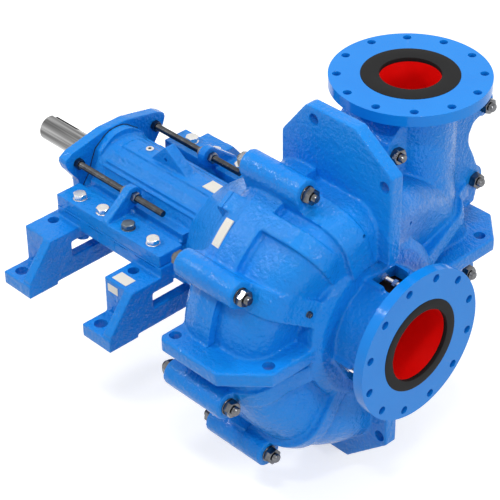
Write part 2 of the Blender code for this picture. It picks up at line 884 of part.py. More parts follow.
def base_frame():
    """The cradle: two rails on two pairs of feet, and the hood that carries the casing."""
    rail_start = bar_rear_x - 0.002
    rail_end = foot_pitch / 2 + foot_length / 2
    body = turned([
        (hood_rear_x, hood_mouth), (hood_rear_x, hood_rear_radius),
        (casing_rear_x - 0.012, hood_front_radius), (casing_rear_x - gap, hood_front_radius),
        (casing_rear_x - gap, hood_front_radius - hood_wall - 0.010),
        (casing_rear_x - 0.020, hood_front_radius - hood_wall - 0.010),
        (hood_rear_x + hood_wall, hood_rear_radius - hood_wall * 0.8),
        (hood_rear_x + hood_wall, hood_mouth)], 32)
    pieces = foot_blocks(-foot_pitch / 2) + foot_blocks(foot_pitch / 2)
    for side in (-1, 1):
        low, high = sorted((side * ledge_split, side * rail_outer))
        pieces.append(box(rail_start, rail_end, low, high, rail_bottom, rail_top))
        low, high = sorted((side * rail_inner, side * (ledge_split + 0.002)))
        pieces.append(box(rail_start, rail_front_x, low, high, rail_bottom - 0.012, wing_bottom - gap))
    face = casing_rear_x - gap
    nose = [(nose_start_x, hood_front_radius - 0.060), (nose_start_x + 0.020, nose_radius - 0.050),
            (nose_start_x + 0.045, nose_radius - 0.008), (face, nose_radius),
            (face, hood_front_radius - 0.015)]
    pieces.append(prism(nose, band_width, radial_frame(band_angle)))
    pieces.append(box(rail_end - beam_thickness + 0.010, 0.480, -0.045, 0.045, beam_lift + 0.002,
                      beam_top - 0.002))
    body = cast_join(body, *pieces)
    hollows = [box(0.335, 0.500, -0.5, 0.5, shaft_height - 0.165, shaft_height - 0.058)]
    hollows.append(turned_solid([(hood_rear_x + hood_wall, hood_rear_radius - hood_wall * 0.8 - gap),
                                 (casing_rear_x - 0.020, hood_front_radius - hood_wall - 0.012)], 32))
    for side in (-1, 1):
        for x in clamp_bolt_xs:
            hollows.append(vertical_hole(clamp_bolt_radius + hole_clearance, x, side * clamp_bolt_y,
                                         rail_bottom - 0.03, bar_bottom + 0.02, 8))
        for middle in (-foot_pitch / 2, foot_pitch / 2):
            x = middle - foot_hole_back
            hollows.append(vertical_hole(foot_hole_radius, x, side * foot_hole_y, -0.01,
                                         foot_tab_height + 0.01))
            hollows.append(vertical_hole(jack_hole_radius, x, side * (upright_start - 0.001),
                                         window_top - 0.03, pedestal_top + 0.03))
    cast_cut(body, *hollows)
    return publish(body, "base_frame", blue_paint)


def clamp_bars():
    """Each bar holds down one wing of the bearing housing and carries a rod ear."""
    for side, name in ((-1, "left"), (1, "right")):
        low, high = sorted((side * rail_inner, side * rail_outer))
        body = box(bar_rear_x, bar_front_x, low, high, bar_bottom, bar_bottom + bar_thickness)
        bar_top = bar_bottom + bar_thickness - shaft_height
        edge = rail_outer - 0.0015
        outline = [(side * edge, bar_top - 0.010), (side * edge, bar_top + 0.006)]
        for k in range(9):
            y, rise = polar(35.0 + 155.0 * k / 8, ear_radius)
            outline.append((side * (rod_y + y), rod_rise + rise))
        outline += [(side * (rod_y - ear_radius + 0.004), rod_rise - 0.028),
                    (side * (rail_inner + 0.006), bar_top + 0.004),
                    (side * (rail_inner + 0.006), bar_top - 0.010)]
        ear = prism(outline, ear_thickness, across_frame(ear_front_x - ear_thickness / 2))
        body = join(body, ear)
        hollows = [shaft_cylinder(rod_radius + rod_hole_clearance, -0.1, 0.1, 12, side * rod_y, rod_rise)]
        for x in clamp_bolt_xs:
            hollows.append(vertical_hole(clamp_bolt_radius + hole_clearance, x, side * clamp_bolt_y,
                                         bar_bottom - 0.02, bar_bottom + bar_thickness + 0.02, 8))
        cut(body, *hollows)
        publish(body, f"clamp_bar_{name}", blue_paint)
        top = bar_bottom + bar_thickness + gap
        for number, x in enumerate(clamp_bolt_xs, 1):
            frame = Matrix.Translation((x, side * clamp_bolt_y, 0.0))
            bolt = cylinder(clamp_bolt_radius, rail_bottom + 0.006, top + 0.006, frame, 8)
            head = hexagon(clamp_head_flats, top, top + clamp_head_height, frame)
            publish(join(bolt, head), f"clamp_bolt_{name}_{number}", dark_steel)


def plate_outline(top, shoulder, ear):
    """Half of the drive-end plate's outline, from the top centre down to the flat bottom."""
    return [(0.0, top), (0.050, top), (rod_y + 0.020, shoulder),
            (ear, rod_rise + 0.030), (ear + 0.004, rod_rise + 0.014), (ear - 0.006, rod_rise - 0.014),
            (rod_y, 0.025), (rod_y - 0.004, -0.030), (0.140, -housing_radius + 0.020),
            (0.110, -housing_radius)]


def both_sides(half):
    return half + [(-y, rise) for y, rise in reversed(half) if y > 0.0]


def bearing_housing():
    """The barrel with its end flanges and the wings that lie on the rails."""
    half = [(0.0, 0.171), (0.030, 0.168), (0.050, 0.160), (0.099, 0.124), (0.117, 0.084), (0.136, 0.036),
            (0.160, 0.004), (0.165, -0.030), (0.120, -housing_radius + 0.004),
            (0.090, -housing_radius - 0.003)]
    body = shaft_cylinder(housing_radius, housing_rear_x + 0.002, housing_front_x, 32)
    flange = prism(both_sides(half), 0.034, across_frame(housing_rear_x + gap + 0.017))
    collar = shaft_cylinder(housing_flange_radius, housing_front_x - 0.030, housing_front_x - 0.001, 32)
    pieces = [flange, collar]
    for side in (-1, 1):
        low, high = sorted((side * 0.110, side * wing_outer))
        pieces.append(box(-0.250, 0.245, low, high, wing_bottom, bar_bottom - gap))
    for angle in (62.0, 76.0, 104.0, 118.0):
        rib = [(-0.270, housing_radius - 0.010), (-0.270, housing_radius + 0.012),
               (0.250, housing_radius + 0.012), (0.250, housing_radius - 0.010)]
        pieces.append(prism(rib, 0.010, radial_frame(angle)))
    foot = housing_radius - 0.020
    lug = [(breather_x - 0.026, foot), (breather_x - 0.026, breather_rise),
           (breather_x + 0.042, breather_rise), (lug_peak_x, lug_peak_rise),
           (lug_peak_x + 0.108, breather_rise - 0.002), (lug_peak_x + 0.120, foot)]
    pieces.append(prism(lug, lug_thickness, Matrix.Translation((0.0, lug_y, 0.0)) @ radial_frame(90.0)))
    body = cast_join(body, *pieces)
    seats = turned_solid([
        (housing_front_x + 0.01, housing_bore),
        (housing_front_x - bearing_inset - bearing_width, housing_bore),
        (housing_front_x - bearing_inset - bearing_width, housing_waist_bore),
        (housing_rear_x + bearing_inset + bearing_width, housing_waist_bore),
        (housing_rear_x + bearing_inset + bearing_width, housing_bore),
        (housing_rear_x - 0.01, housing_bore)], round_sides)
    breather = vertical_hole(breather_radius, breather_x, breather_y, shaft_height + 0.08,
                             shaft_height + 0.3, 10)
    cast_cut(body, seats, breather)
    return publish(body, "bearing_housing", blue_paint, cartridge)


def end_covers():
    """The drive-end plate with the rod ears, and the round cover at the pump end."""
    rear = housing_rear_x - end_plate_thickness
    half = plate_outline(0.178, 0.147, 0.230)
    plate = prism(both_sides(half), end_plate_thickness, across_frame(rear + end_plate_thickness / 2))
    spigot = shaft_cylinder(housing_bore - gap, housing_rear_x - 0.005,
                            housing_rear_x + bearing_inset - gap, round_sides)
    plate = join(plate, spigot)
    cut(plate, shaft_cylinder(bearing_seat - 0.004, -0.5, 0.0, round_sides),
        shaft_cylinder(0.085, housing_rear_x - 0.012, 0.0, round_sides),
        shaft_cylinder(rod_radius + gap, -0.5, 0.0, 12, rod_y, rod_rise),
        shaft_cylinder(rod_radius + gap, -0.5, 0.0, 12, -rod_y, rod_rise))
    publish(plate, "drive_end_plate", blue_paint, cartridge)
    front = turned([
        (housing_front_x + front_cover_thickness, cover_bore),
        (housing_front_x + gap, cover_bore), (housing_front_x - bearing_inset + gap, cover_bore + 0.025),
        (housing_front_x - bearing_inset + gap, housing_bore - gap),
        (housing_front_x + gap, housing_bore - gap), (housing_front_x + gap, front_cover_radius),
        (housing_front_x + front_cover_thickness, front_cover_radius)], round_sides)
    publish(front, "pump_end_cover", blue_paint, cartridge)


def bearings():
    """Outer races in the housing; inner races with their rollers on the shaft."""
    for start, name in ((housing_rear_x + bearing_inset, "drive"),
                        (housing_front_x - bearing_inset - bearing_width, "pump")):
        first = start + gap
        last = start + bearing_width - gap
        middle = (first + last) / 2
        outer = turned([(first, housing_bore - outer_race_wall * 0.5), (first, housing_bore - gap),
                        (last, housing_bore - gap), (last, housing_bore - outer_race_wall * 0.5),
                        (middle, housing_bore - outer_race_wall)], round_sides)
        publish(outer, f"bearing_outer_race_{name}", bright_steel, cartridge)
        rim = housing_bore - outer_race_wall * 0.5 - running_gap
        inner = turned([(first, bearing_seat + gap), (first, rim),
                        (middle, rim - outer_race_wall * 0.5), (last, rim),
                        (last, bearing_seat + gap)], round_sides)
        publish(inner, f"bearing_rollers_{name}", bright_steel, rotor)


def shaft():
    """The shaft's steps, from the keyed drive end to the impeller thread."""
    chamfer = 0.004
    first_race = housing_rear_x + bearing_inset
    last_race = housing_front_x - bearing_inset
    body = turned_solid([
        (thread_end_x, thread_radius - chamfer), (thread_end_x - chamfer, thread_radius),
        (impeller_rear_x, thread_radius), (impeller_rear_x, sleeve_seat),
        (sleeve_rear_x, sleeve_seat), (sleeve_rear_x, shaft_step),
        (housing_front_x + 0.020, shaft_step), (housing_front_x + 0.020, bearing_seat),
        (last_race - bearing_width, bearing_seat), (last_race - bearing_width, shaft_waist),
        (first_race + bearing_width, shaft_waist), (first_race + bearing_width, bearing_seat),
        (first_race - 0.020, bearing_seat), (first_race - 0.020, shaft_radius),
        (shaft_end_x + chamfer, shaft_radius), (shaft_end_x, shaft_radius - chamfer)], round_sides)
    slot = box(-keyway_length / 2, keyway_length / 2, -keyway_width / 2, keyway_width / 2, 0.0, 0.03)
    place = (Matrix.Translation((shaft_end_x + keyway_length / 2 - 0.001, 0.0, shaft_height))
             @ Matrix.Rotation(math.radians(-keyway_turn), 4, "X")
             @ Matrix.Translation((0.0, 0.0, shaft_radius - keyway_depth)))
    slot.data.transform(place)
    cut(body, slot)
    return publish(body, "shaft", bright_steel, rotor)


def shaft_fittings():
    sleeve = turned([(sleeve_rear_x + gap, sleeve_seat + gap), (sleeve_rear_x + gap, sleeve_radius),
                     (impeller_rear_x - gap, sleeve_radius), (impeller_rear_x - gap, sleeve_seat + gap)],
                    round_sides)
    publish(sleeve, "shaft_sleeve", bright_steel, rotor)
    flinger = turned([(0.300, shaft_step + gap), (0.296, 0.078), (0.306, 0.078),
                      (0.318, shaft_step + 0.012), (0.318, shaft_step + gap)], round_sides)
    publish(flinger, "flinger", black_rubber, rotor)
    rear = housing_rear_x + bearing_inset
    nut = turned([(rear - 0.014, bearing_seat + gap), (rear - 0.014, 0.078), (rear - gap, 0.078),
                  (rear - gap, bearing_seat + gap)], round_sides)
    publish(nut, "bearing_lock_nut", dark_steel, rotor)


def vane_outline(start_angle):
    """One backward-curved blade between two spiral arcs."""
    steps = 5
    outside = []
    inside = []
    for k in range(steps + 1):
        share = k / steps
        radius = vane_inner + (impeller_radius - 0.002 - vane_inner) * share
        angle = start_angle - vane_sweep * share
        half = math.degrees(vane_thickness / 2 / radius) * (0.75 + 0.5 * math.sin(math.pi * share)) * 1.5
        outside.append(polar(angle + half, radius))
        inside.append(polar(angle - half, radius))
    return outside + inside[::-1]


def impeller():
    """Two shrouds with the curved vanes between them, open at the eye and the rim."""
    front_x = discharge_x + liner_half_width - impeller_front_gap
    back = turned_solid([
        (thread_end_x + 0.014, 0.026), (thread_end_x - 0.006, 0.055),
        (impeller_rear_x + shroud, 0.110), (impeller_rear_x + shroud, impeller_radius),
        (impeller_rear_x + gap, impeller_radius)], 32)
    front = turned([(front_x, impeller_eye), (front_x - shroud, impeller_eye + 0.006),
                    (front_x - shroud, impeller_radius), (front_x, impeller_radius)], 32)
    vanes = []
    width = front_x - impeller_rear_x - shroud + 0.002
    middle = (front_x - shroud + impeller_rear_x + shroud) / 2
    for k in range(vane_count):
        vanes.append(prism(vane_outline(360.0 * k / vane_count), width - shroud + 0.006,
                           across_frame(middle)))
    body = cast_join(back, front, *vanes)
    cast_cut(body, shaft_cylinder(thread_radius + gap, impeller_rear_x - 0.01, thread_end_x + gap,
                                  round_sides))
    return publish(body, "impeller", cast_iron, rotor)


def stuffing_box():
    """The gland housing in the back of the casing, with its packing, lantern ring and gland."""
    rear = casing_rear_x
    disc_front = discharge_x - liner_half_width
    liner_rear = disc_front - liner_wall
    body = turned([
        (box_rear_x, box_chamber), (box_rear_x, box_flange_radius),
        (box_rear_x + 0.022, box_flange_radius), (box_rear_x + 0.022, box_radius),
        (rear - 0.012, box_radius), (rear - 0.012, centre_bore), (liner_rear - gap, centre_bore),
        (liner_rear - gap, 0.104), (disc_front - gap, 0.104), (disc_front - gap, box_throat),
        (packing_end_x, box_throat), (packing_end_x, box_chamber)], round_sides)
    taps = []
    for side in (-1, 1):
        taps.append(shaft_cylinder(gland_bolt_radius + gap, box_rear_x - 0.01, box_rear_x + 0.019, 12,
                                   0.0, side * gland_bolt_circle))
    cut(body, *taps)
    publish(body, "stuffing_box", cast_iron)
    inner = sleeve_radius + 0.0006
    outer = box_chamber - gap
    places = (("packing_front", packing_end_x - 0.040, packing_end_x, packing_fibre),
              ("lantern_ring", packing_end_x - 0.058, packing_end_x - 0.040, bright_steel),
              ("packing_rear", box_rear_x + 0.018, packing_end_x - 0.058, packing_fibre))
    for name, first, last, material in places:
        ring = turned([(first + gap, inner), (first + gap, outer), (last - gap, outer),
                       (last - gap, inner)], round_sides)
        publish(ring, name, material)
    gland = turned([
        (gland_rear_x, inner + 0.002), (gland_rear_x, gland_flange_radius),
        (gland_rear_x + 0.016, gland_flange_radius), (gland_rear_x + 0.016, outer),
        (box_rear_x + 0.018 - gap, outer), (box_rear_x + 0.018 - gap, inner + 0.002)], round_sides)
    holes = []
    for side in (-1, 1):
        holes.append(shaft_cylinder(gland_bolt_radius + hole_clearance, 0.3, 0.5, 12,
                                    0.0, side * gland_bolt_circle))
    cut(gland, *holes)
    publish(gland, "gland", cast_iron)
    for number, side in enumerate((1, -1), 1):
        frame = Matrix.Translation((0.0, 0.0, shaft_height + side * gland_bolt_circle)) @ turn_to_x
        bolt = cylinder(gland_bolt_radius, gland_rear_x - 0.016, box_rear_x + 0.018, frame, 12)
        nut = hexagon(0.019, gland_rear_x - 0.010, gland_rear_x - gap, frame)
        publish(join(bolt, nut), f"gland_bolt_{number}", dark_steel)


def adjusting_gear():
    """Rods fixed in the end plate that pass the ears, and the nuts that set them there."""
    plate_rear = housing_rear_x - end_plate_thickness
    for side, name in ((-1, "left"), (1, "right")):
        frame = Matrix.Translation((0.0, side * rod_y, shaft_height + rod_rise)) @ turn_to_x
        rod = cylinder(rod_radius, plate_rear - rod_tail, rod_front_x, frame, 12)
        front_face = housing_rear_x + gap
        rod = join(rod,
                   hexagon(rod_nut_flats, plate_rear - gap - rod_nut_height, plate_rear - gap, frame),
                   hexagon(rod_nut_flats, front_face, front_face + rod_nut_height, frame))
        publish(rod, f"adjusting_rod_{name}", dark_steel, cartridge)
        ear_rear = ear_front_x - ear_thickness
        middle = (0.0, side * rod_y, shaft_height + rod_rise)
        for place, start in (("front", ear_front_x + gap), ("rear", ear_rear - gap - rod_nut_height)):
            nut = hexagon(rod_nut_flats, start, start + rod_nut_height, frame)
            end = start + rod_nut_height
            hole = cylinder(rod_radius + gap + 0.0004, start - 0.01, end + 0.01, frame, 12)
            cut(nut, hole)
            axis = make_pivot(f"adjusting_nut_axis_{name}_{place}", middle)
            publish(nut, f"adjusting_nut_{name}_{place}", dark_steel, axis)


def breather():
    seat = shaft_height + breather_rise + gap
    frame = Matrix.Translation((breather_x, breather_y, 0.0))
    body = cylinder(breather_radius - gap, seat - 0.030, seat + 0.002, frame, 10)
    cap = cylinder(breather_radius + breather_cap, seat, seat + 0.005, frame, 12)
    publish(join(body, cap), "breather", bright_steel, cartridge)


cartridge = make_pivot("cartridge_slide", (0.0, 0.0, shaft_height))
rotor = make_pivot("shaft_axis", (0.0, 0.0, shaft_height), cartridge)
cover_plate()
frame_plate()
discharge_flange()
joint_rings()
volute_liner()
side_liners()
casing_bolts()
bush_studs()
base_frame()
clamp_bars()
bearing_housing()
end_covers()
bearings()
shaft()
shaft_fittings()
impeller()
stuffing_box()
adjusting_gear()
breather()
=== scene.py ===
"""A horizontal slurry pump: finishes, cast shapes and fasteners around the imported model.

Metres, +Z up, +X along the shaft towards the suction flange, +Y towards the discharge.
"""
import math

import bmesh
import bpy
from mathutils import Matrix, Vector


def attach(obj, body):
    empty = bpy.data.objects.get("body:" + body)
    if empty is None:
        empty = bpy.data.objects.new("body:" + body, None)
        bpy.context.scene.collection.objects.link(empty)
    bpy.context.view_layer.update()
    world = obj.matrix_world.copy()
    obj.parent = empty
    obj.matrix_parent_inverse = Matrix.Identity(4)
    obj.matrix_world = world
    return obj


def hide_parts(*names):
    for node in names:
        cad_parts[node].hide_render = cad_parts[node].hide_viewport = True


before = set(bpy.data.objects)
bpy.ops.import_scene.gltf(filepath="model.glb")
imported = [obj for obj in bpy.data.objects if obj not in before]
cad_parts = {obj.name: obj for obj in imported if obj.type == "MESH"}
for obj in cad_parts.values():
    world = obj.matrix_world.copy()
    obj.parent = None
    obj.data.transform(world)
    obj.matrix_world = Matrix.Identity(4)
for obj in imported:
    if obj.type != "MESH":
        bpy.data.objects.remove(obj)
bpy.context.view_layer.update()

# The camera, found from the flanges, the feet and the shaft line: degrees, metres and picture pixels
view_azimuth = 46.54
view_elevation = 35.27
view_roll = -0.75
view_right = 0.5366
view_up = 0.3007
view_distance = 6.134
focal_pixels = 1943.9
picture_pixels = 500.0
film_width_mm = 36.0

# Light and floor
floor_top = -0.46
floor_glow = 0.62
sky_level = 0.64
# Each lamp's name, place, aim, size and watts
lamps = (
    ("key", (-2.4, -2.6, 4.4), (0.4, 0.0, 0.2), (0.7, 0.7), 84.0),
    ("top", (1.0, 1.0, 5.0), (0.5, 0.1, 0.2), (1.0, 0.7), 62.0),
    ("front", (2.6, -2.4, 4.6), (0.7, 0.0, 0.2), (0.7, 0.3), 46.0),
    ("side", (5.0, -0.5, 2.4), (0.8, 0.0, 0.2), (0.5, 1.0), 50.0),
)

# Fits
gap = 0.0003
seam = 0.0004
bolt_clearance = 0.0008

# Shaft line and flanges
shaft_height = 0.231
suction_face_x = 1.170
discharge_x = 0.730
discharge_y = 0.405
discharge_rise = 0.641
flange_radius = 0.2667
flange_thickness = 0.038
flange_bolt_circle = 0.23813
flange_bolt_count = 12
flange_turn = 15.0
flange_hole_radius = 0.0143
suction_bore = 0.127
discharge_bore = 0.1016
discharge_neck_radius = 0.1592
joint_ring_radius = 0.1625
joint_ring_proud = 0.0015
joint_ring_depth = 0.014

# Casing
casing_rear_x = 0.570
casing_wall = 0.030
dome_start_radius = 0.440
dome_growth = 0.160
dome_growth_power = 1.5
tongue_angle = 65.0
dome_front_x = 0.948
dome_front_swing = 0.048
dome_corner = 0.090
dome_corner_growth = 0.060
dome_corner_angle = 262.0
rim_step = 0.027
split_overlap = 0.030
casing_steps = 360
centre_bore = 0.160
neck_radius = 0.195
neck_bore = 0.168
neck_lip = 0.030
collar_radius = 0.285
collar_x = 0.967
collar_nose_radius = 0.255
collar_nose = 0.019
collar_root = 0.035
collar_edge = 0.012
window_angles = (90.0, 210.0, 330.0)
window_start_x = 1.005
window_length = 0.080
window_width = 0.110
window_rim = 0.016
window_rim_depth = 0.034
window_cut = 0.060
bush_stud_circle = 0.182
bush_stud_radius = 0.008
bush_nut_flats = 0.024
liner_wall = 0.028
liner_half_width = 0.105
liner_eye = 0.215
liner_disc_bore = 0.105
liner_clearance = 0.003
bush_skin = 0.012

# Long bolts: angle from +Y towards +Z and radius, then offset from the neck and height
spiral_bolts = (
    (108.5, 0.513), (151.2, 0.515), (196.8, 0.534), (233.9, 0.568), (274.7, 0.631),
    (308.0, 0.655), (341.6, 0.663),
)
neck_bolts = ((0.234, 0.174), (0.268, 0.455), (-0.172, 0.454))
# Arms that tie the bolts to the collar: angle, bolt radius, width, rise above the shell
arms = (
    (108.5, 0.513, 0.092, 0.012), (151.2, 0.515, 0.092, 0.012), (196.8, 0.534, 0.070, 0.012),
    (233.9, 0.568, 0.056, 0.020), (274.7, 0.631, 0.056, 0.020), (308.0, 0.655, 0.056, 0.020),
    (341.6, 0.663, 0.056, 0.020), (15.2, 0.662, 0.056, 0.020),
)
arm_end = 0.004
arm_screw_radius = 0.318
arm_screw_x = 0.951
# Webs between the discharge neck and the bosses beside it, as y and height above the shaft
neck_webs = (
    ((0.48, 0.52), (0.48, 0.05), (0.648, 0.08), (0.664, 0.15), (0.656, 0.215), (0.628, 0.280),
     (0.604, 0.325), (0.600, 0.365), (0.622, 0.405), (0.668, 0.425), (0.690, 0.480), (0.650, 0.512),
     (0.590, 0.540)),
    ((0.32, 0.58), (0.250, 0.545), (0.200, 0.500), (0.186, 0.440), (0.210, 0.385), (0.32, 0.35)),
)
neck_web_x = 0.712
neck_web_width = 0.236
neck_flare_radius = 0.172
neck_bridge_start = 0.100
neck_bridge_half = 0.040
plug_holes = ((-0.083, 0.373), (0.155, 0.298))
plug_hole_radius = 0.0065
plug_hole_x = 0.968
band_angle = 123.5
band_width = 0.066
band_front_rise = 0.008
border_angles = (104.0, 156.0)
border_x = 0.752
boss_radius = 0.048
boss_front_x = 0.825
casing_bolt_radius = 0.015
casing_nut_flats = 0.050
casing_nut_height = 0.026
washer_thickness = 0.004
casing_pitch = 0.0035
stud_reach = 0.018
nut_turn = 17.0
nut_seat = 0.034
fin_thickness = 0.050
fin_hole_radius = 0.0205

# Base frame
foot_pitch = 0.426
foot_length = 0.142
foot_reach = 0.542
foot_hole_y = foot_reach - 0.045
foot_hole_radius = 0.0235
foot_hole_back = 0.027
foot_tab_start = 0.435
foot_tab_height = 0.050
pad_start = 0.416
beam_lift = 0.0125
beam_top = shaft_height - 0.147
beam_thickness = 0.040
upright_start = 0.344
window_top = shaft_height - 0.085
pedestal_top = shaft_height - 0.040
jack_hole_radius = 0.020
gusset_thickness = 0.040
rail_inner = 0.200
rail_outer = 0.305
rail_bottom = shaft_height - 0.057
rail_top = shaft_height - 0.0033
ledge_split = 0.2453
rail_front_x = 0.360
hood_rear_x = 0.290
hood_rear_radius = 0.200
hood_front_radius = 0.400
hood_wall = 0.022
hood_mouth = 0.150
hood_slot = (0.335, 0.500, shaft_height - 0.165, shaft_height - 0.058)
nose_start_x = 0.500
nose_radius = 0.470
seam_slot_rise = (shaft_height - 0.0145, shaft_height - 0.0105)
seam_slots = ((-0.220, -0.138), (-0.093, -0.014), (0.040, 0.113), (0.150, 0.253))

# Clamp bars, bolts and ears
hands = ((-1, "left"), (1, "right"))
bar_rear_x = -0.260
bar_front_x = 0.278
bar_bottom = shaft_height - 0.003
bar_thickness = 0.045
clamp_bolt_xs = (-0.181, -0.058, 0.075, 0.201)
clamp_bolt_y = 0.264
clamp_bolt_radius = 0.0135
clamp_head_flats = 0.043
clamp_head_height = 0.018
clamp_washer = 0.003
clamp_boss_radius = 0.025
clamp_boss_bottom = 0.112
ear_front_x = 0.012
ear_thickness = 0.034
ear_radius = 0.036

# Adjusting rods and nuts
rod_y = 0.180
rod_rise = 0.100
rod_radius = 0.012
rod_front_x = 0.163
rod_tail = 0.030
rod_nut_flats = 0.036
rod_nut_height = 0.019
rod_hole_clearance = 0.0025
rod_pitch = 0.003

# Bearing cartridge
housing_radius = 0.138
housing_bore = 0.105
housing_waist_bore = 0.095
housing_rear_x = -0.290
housing_front_x = 0.270
housing_flange_radius = 0.144
end_plate_thickness = 0.040
wing_span = (-0.250, 0.245)
wing_step_span = (-0.245, 0.240)
wing_inner = 0.110
wing_outer = 0.245
wing_bottom = shaft_height - 0.045
bearing_width = 0.060
bearing_inset = 0.025
outer_race_wall = 0.0165
front_cover_thickness = 0.013
front_cover_radius = 0.126
cover_bore = 0.058
lug_y = 0.005
lug_thickness = 0.045
lug_peak_x = -0.006
lug_peak_rise = 0.218
breather_radius = 0.010
breather_x = -0.121
breather_y = 0.012
breather_rise = 0.146
breather_cap = 0.0045
breather_core = 0.006
gasket_thickness = 0.003
spine_span = (-0.215, 0.262)
spine_half = 0.036
spine_rise = 0.1425
# Ridges along the barrel: places along it, then angle, rise above it, width
rib_xs = (-0.240, -0.232, 0.236, 0.244)
rib_shapes = ((62.0, 0.003, 0.010), (46.0, 0.006, 0.007), (38.0, 0.006, 0.007))
wing_steps = ((wing_inner, 0.190, 0.020), (wing_inner, 0.165, 0.045))
lug_hole_x = -0.004
lug_hole_rise = 0.168
lug_hole_radius = 0.0075

# Rotor
shaft_end_x = -0.680
shaft_radius = 0.0475
bearing_seat = 0.055
shaft_waist = 0.065
sleeve_seat = 0.045
sleeve_radius = 0.058
sleeve_rear_x = 0.350
shaft_step = 0.050
thread_radius = 0.040
thread_end_x = 0.720
keyway_width = 0.025
keyway_depth = 0.009
keyway_length = 0.150
keyway_turn = 34.0
lock_nut_radius = 0.078
flinger_radius = 0.078
impeller_radius = 0.300
impeller_eye = 0.120
shroud = 0.020
impeller_rear_x = 0.652
impeller_front_gap = 0.0012
vane_count = 5
vane_thickness = 0.022
vane_inner = 0.125
vane_sweep = 95.0

# Stuffing box
box_rear_x = 0.430
box_radius = 0.100
box_flange_radius = 0.125
box_chamber = 0.078
box_throat = 0.060
gland_flange_radius = 0.122
gland_bolt_circle = 0.110
gland_bolt_radius = 0.006
gland_pitch = 0.00175
gland_rear_x = 0.385
packing_end_x = 0.550

# Bare plates: the bent one's places, then each flat one's corners
rating_plate_xs = (0.611, 0.6545)
rating_plate_angles = (129.8, 141.4)
rivet_angles = (131.0, 140.2)
tag_seat = shaft_height + spine_rise
flat_plates = (
    ("blank_foot_plate", "frame", (0.166, 0.236, -0.421, -0.377, pedestal_top - 0.0005,
                                   pedestal_top + 0.0015)),
    ("blank_side_plate", "frame", (0.160, 0.210, -foot_tab_start - 0.0015, -foot_tab_start + 0.0005,
                                   0.144, 0.174)),
    ("blank_housing_tag", "cartridge", (0.180, 0.240, -0.016, 0.034, tag_seat - 0.001, tag_seat + 0.003)),
)

# How finely the castings are moulded, how many sides round shapes have, and the lumps on their skin
coarse_grain = 0.0045
fine_grain = 0.0032
round_steps = 96
lump_size = 0.024
lump_depth = 0.0008


# Colours and finishes

def sheen(hex_colour):
    """An sRGB hex colour as the linear numbers that the shader takes."""
    linear = []
    for place in (1, 3, 5):
        value = int(hex_colour[place:place + 2], 16) / 255.0
        linear.append(value / 12.92 if value <= 0.04045 else ((value + 0.055) / 1.055) ** 2.4)
    return (*linear, 1.0)


def add_node(tree, kind, inputs=None, **settings):
    """Adds a node with its settings; an input takes a value or another node's output."""
    node = tree.nodes.new(kind)
    for name, value in settings.items():
        setattr(node, name, value)
    for name, value in (inputs or {}).items():
        if isinstance(value, bpy.types.NodeSocket):
            tree.links.new(value, node.inputs[name])
        else:
            node.inputs[name].default_value = value
    return node


def new_finish(name, hex_colour, **values):
    """A material with its plain values set on the shader's own sockets."""
    material = bpy.data.materials.new(name)
    material.use_nodes = True
    shader = material.node_tree.nodes["Principled BSDF"]
    shader.inputs["Base Color"].default_value = sheen(hex_colour)
    for socket, value in values.items():
        shader.inputs[socket.replace("_", " ")].default_value = value
    return material, material.node_tree, shader


def per_mm(size):
    """A pattern scale whose features are this many millimetres across."""
    return 1000.0 / size


def lay_texture(tree, shader, layers):
    """Stacks bumps, each a texture's height with its depth in millimetres."""
    previous = None
    for height, depth, strength in layers:
        bump = add_node(tree, "ShaderNodeBump",
                        {"Strength": strength, "Distance": depth / 1000.0, "Height": height})
        if previous is not None:
            tree.links.new(previous.outputs["Normal"], bump.inputs["Normal"])
        previous = bump
    tree.links.new(previous.outputs["Normal"], shader.inputs["Normal"])


def vary_colour(tree, shader, amount, first, second):
    """Mixes two shades of the finish by a texture."""
    mix = add_node(tree, "ShaderNodeMix", {"Factor": amount}, data_type="RGBA")
    mix.inputs[6].default_value = sheen(first)
    mix.inputs[7].default_value = sheen(second)
    tree.links.new(mix.outputs[2], shader.inputs["Base Color"])


def cast_enamel(name, depth):
    """Gloss enamel over sand-cast iron: a wet skin that keeps the mould's grain and sags."""
    material, tree, shader = new_finish(name, "#1080DA", Roughness=0.12, Specular_IOR_Level=0.2)
    place = add_node(tree, "ShaderNodeTexCoord").outputs["Object"]
    sand = add_node(tree, "ShaderNodeTexNoise", {"Vector": place, "Scale": per_mm(10.0), "Detail": 2.0,
                                                 "Roughness": 0.5})
    sag = add_node(tree, "ShaderNodeTexNoise", {"Vector": place, "Scale": per_mm(26.0), "Detail": 2.0})
    film = add_node(tree, "ShaderNodeTexNoise", {"Vector": place, "Scale": per_mm(160.0), "Detail": 4.0})
    lay_texture(tree, shader, ((sag.outputs["Fac"], depth * 1.6, 0.6), (sand.outputs["Fac"], depth, 0.8)))
    vary_colour(tree, shader, film.outputs["Fac"], "#0C78D2", "#1487DF")
    return material


blue_cast_enamel = cast_enamel("blue_enamel_on_sand_cast_iron", 4.4)
blue_smooth_enamel = cast_enamel("blue_enamel_on_machined_iron", 0.25)


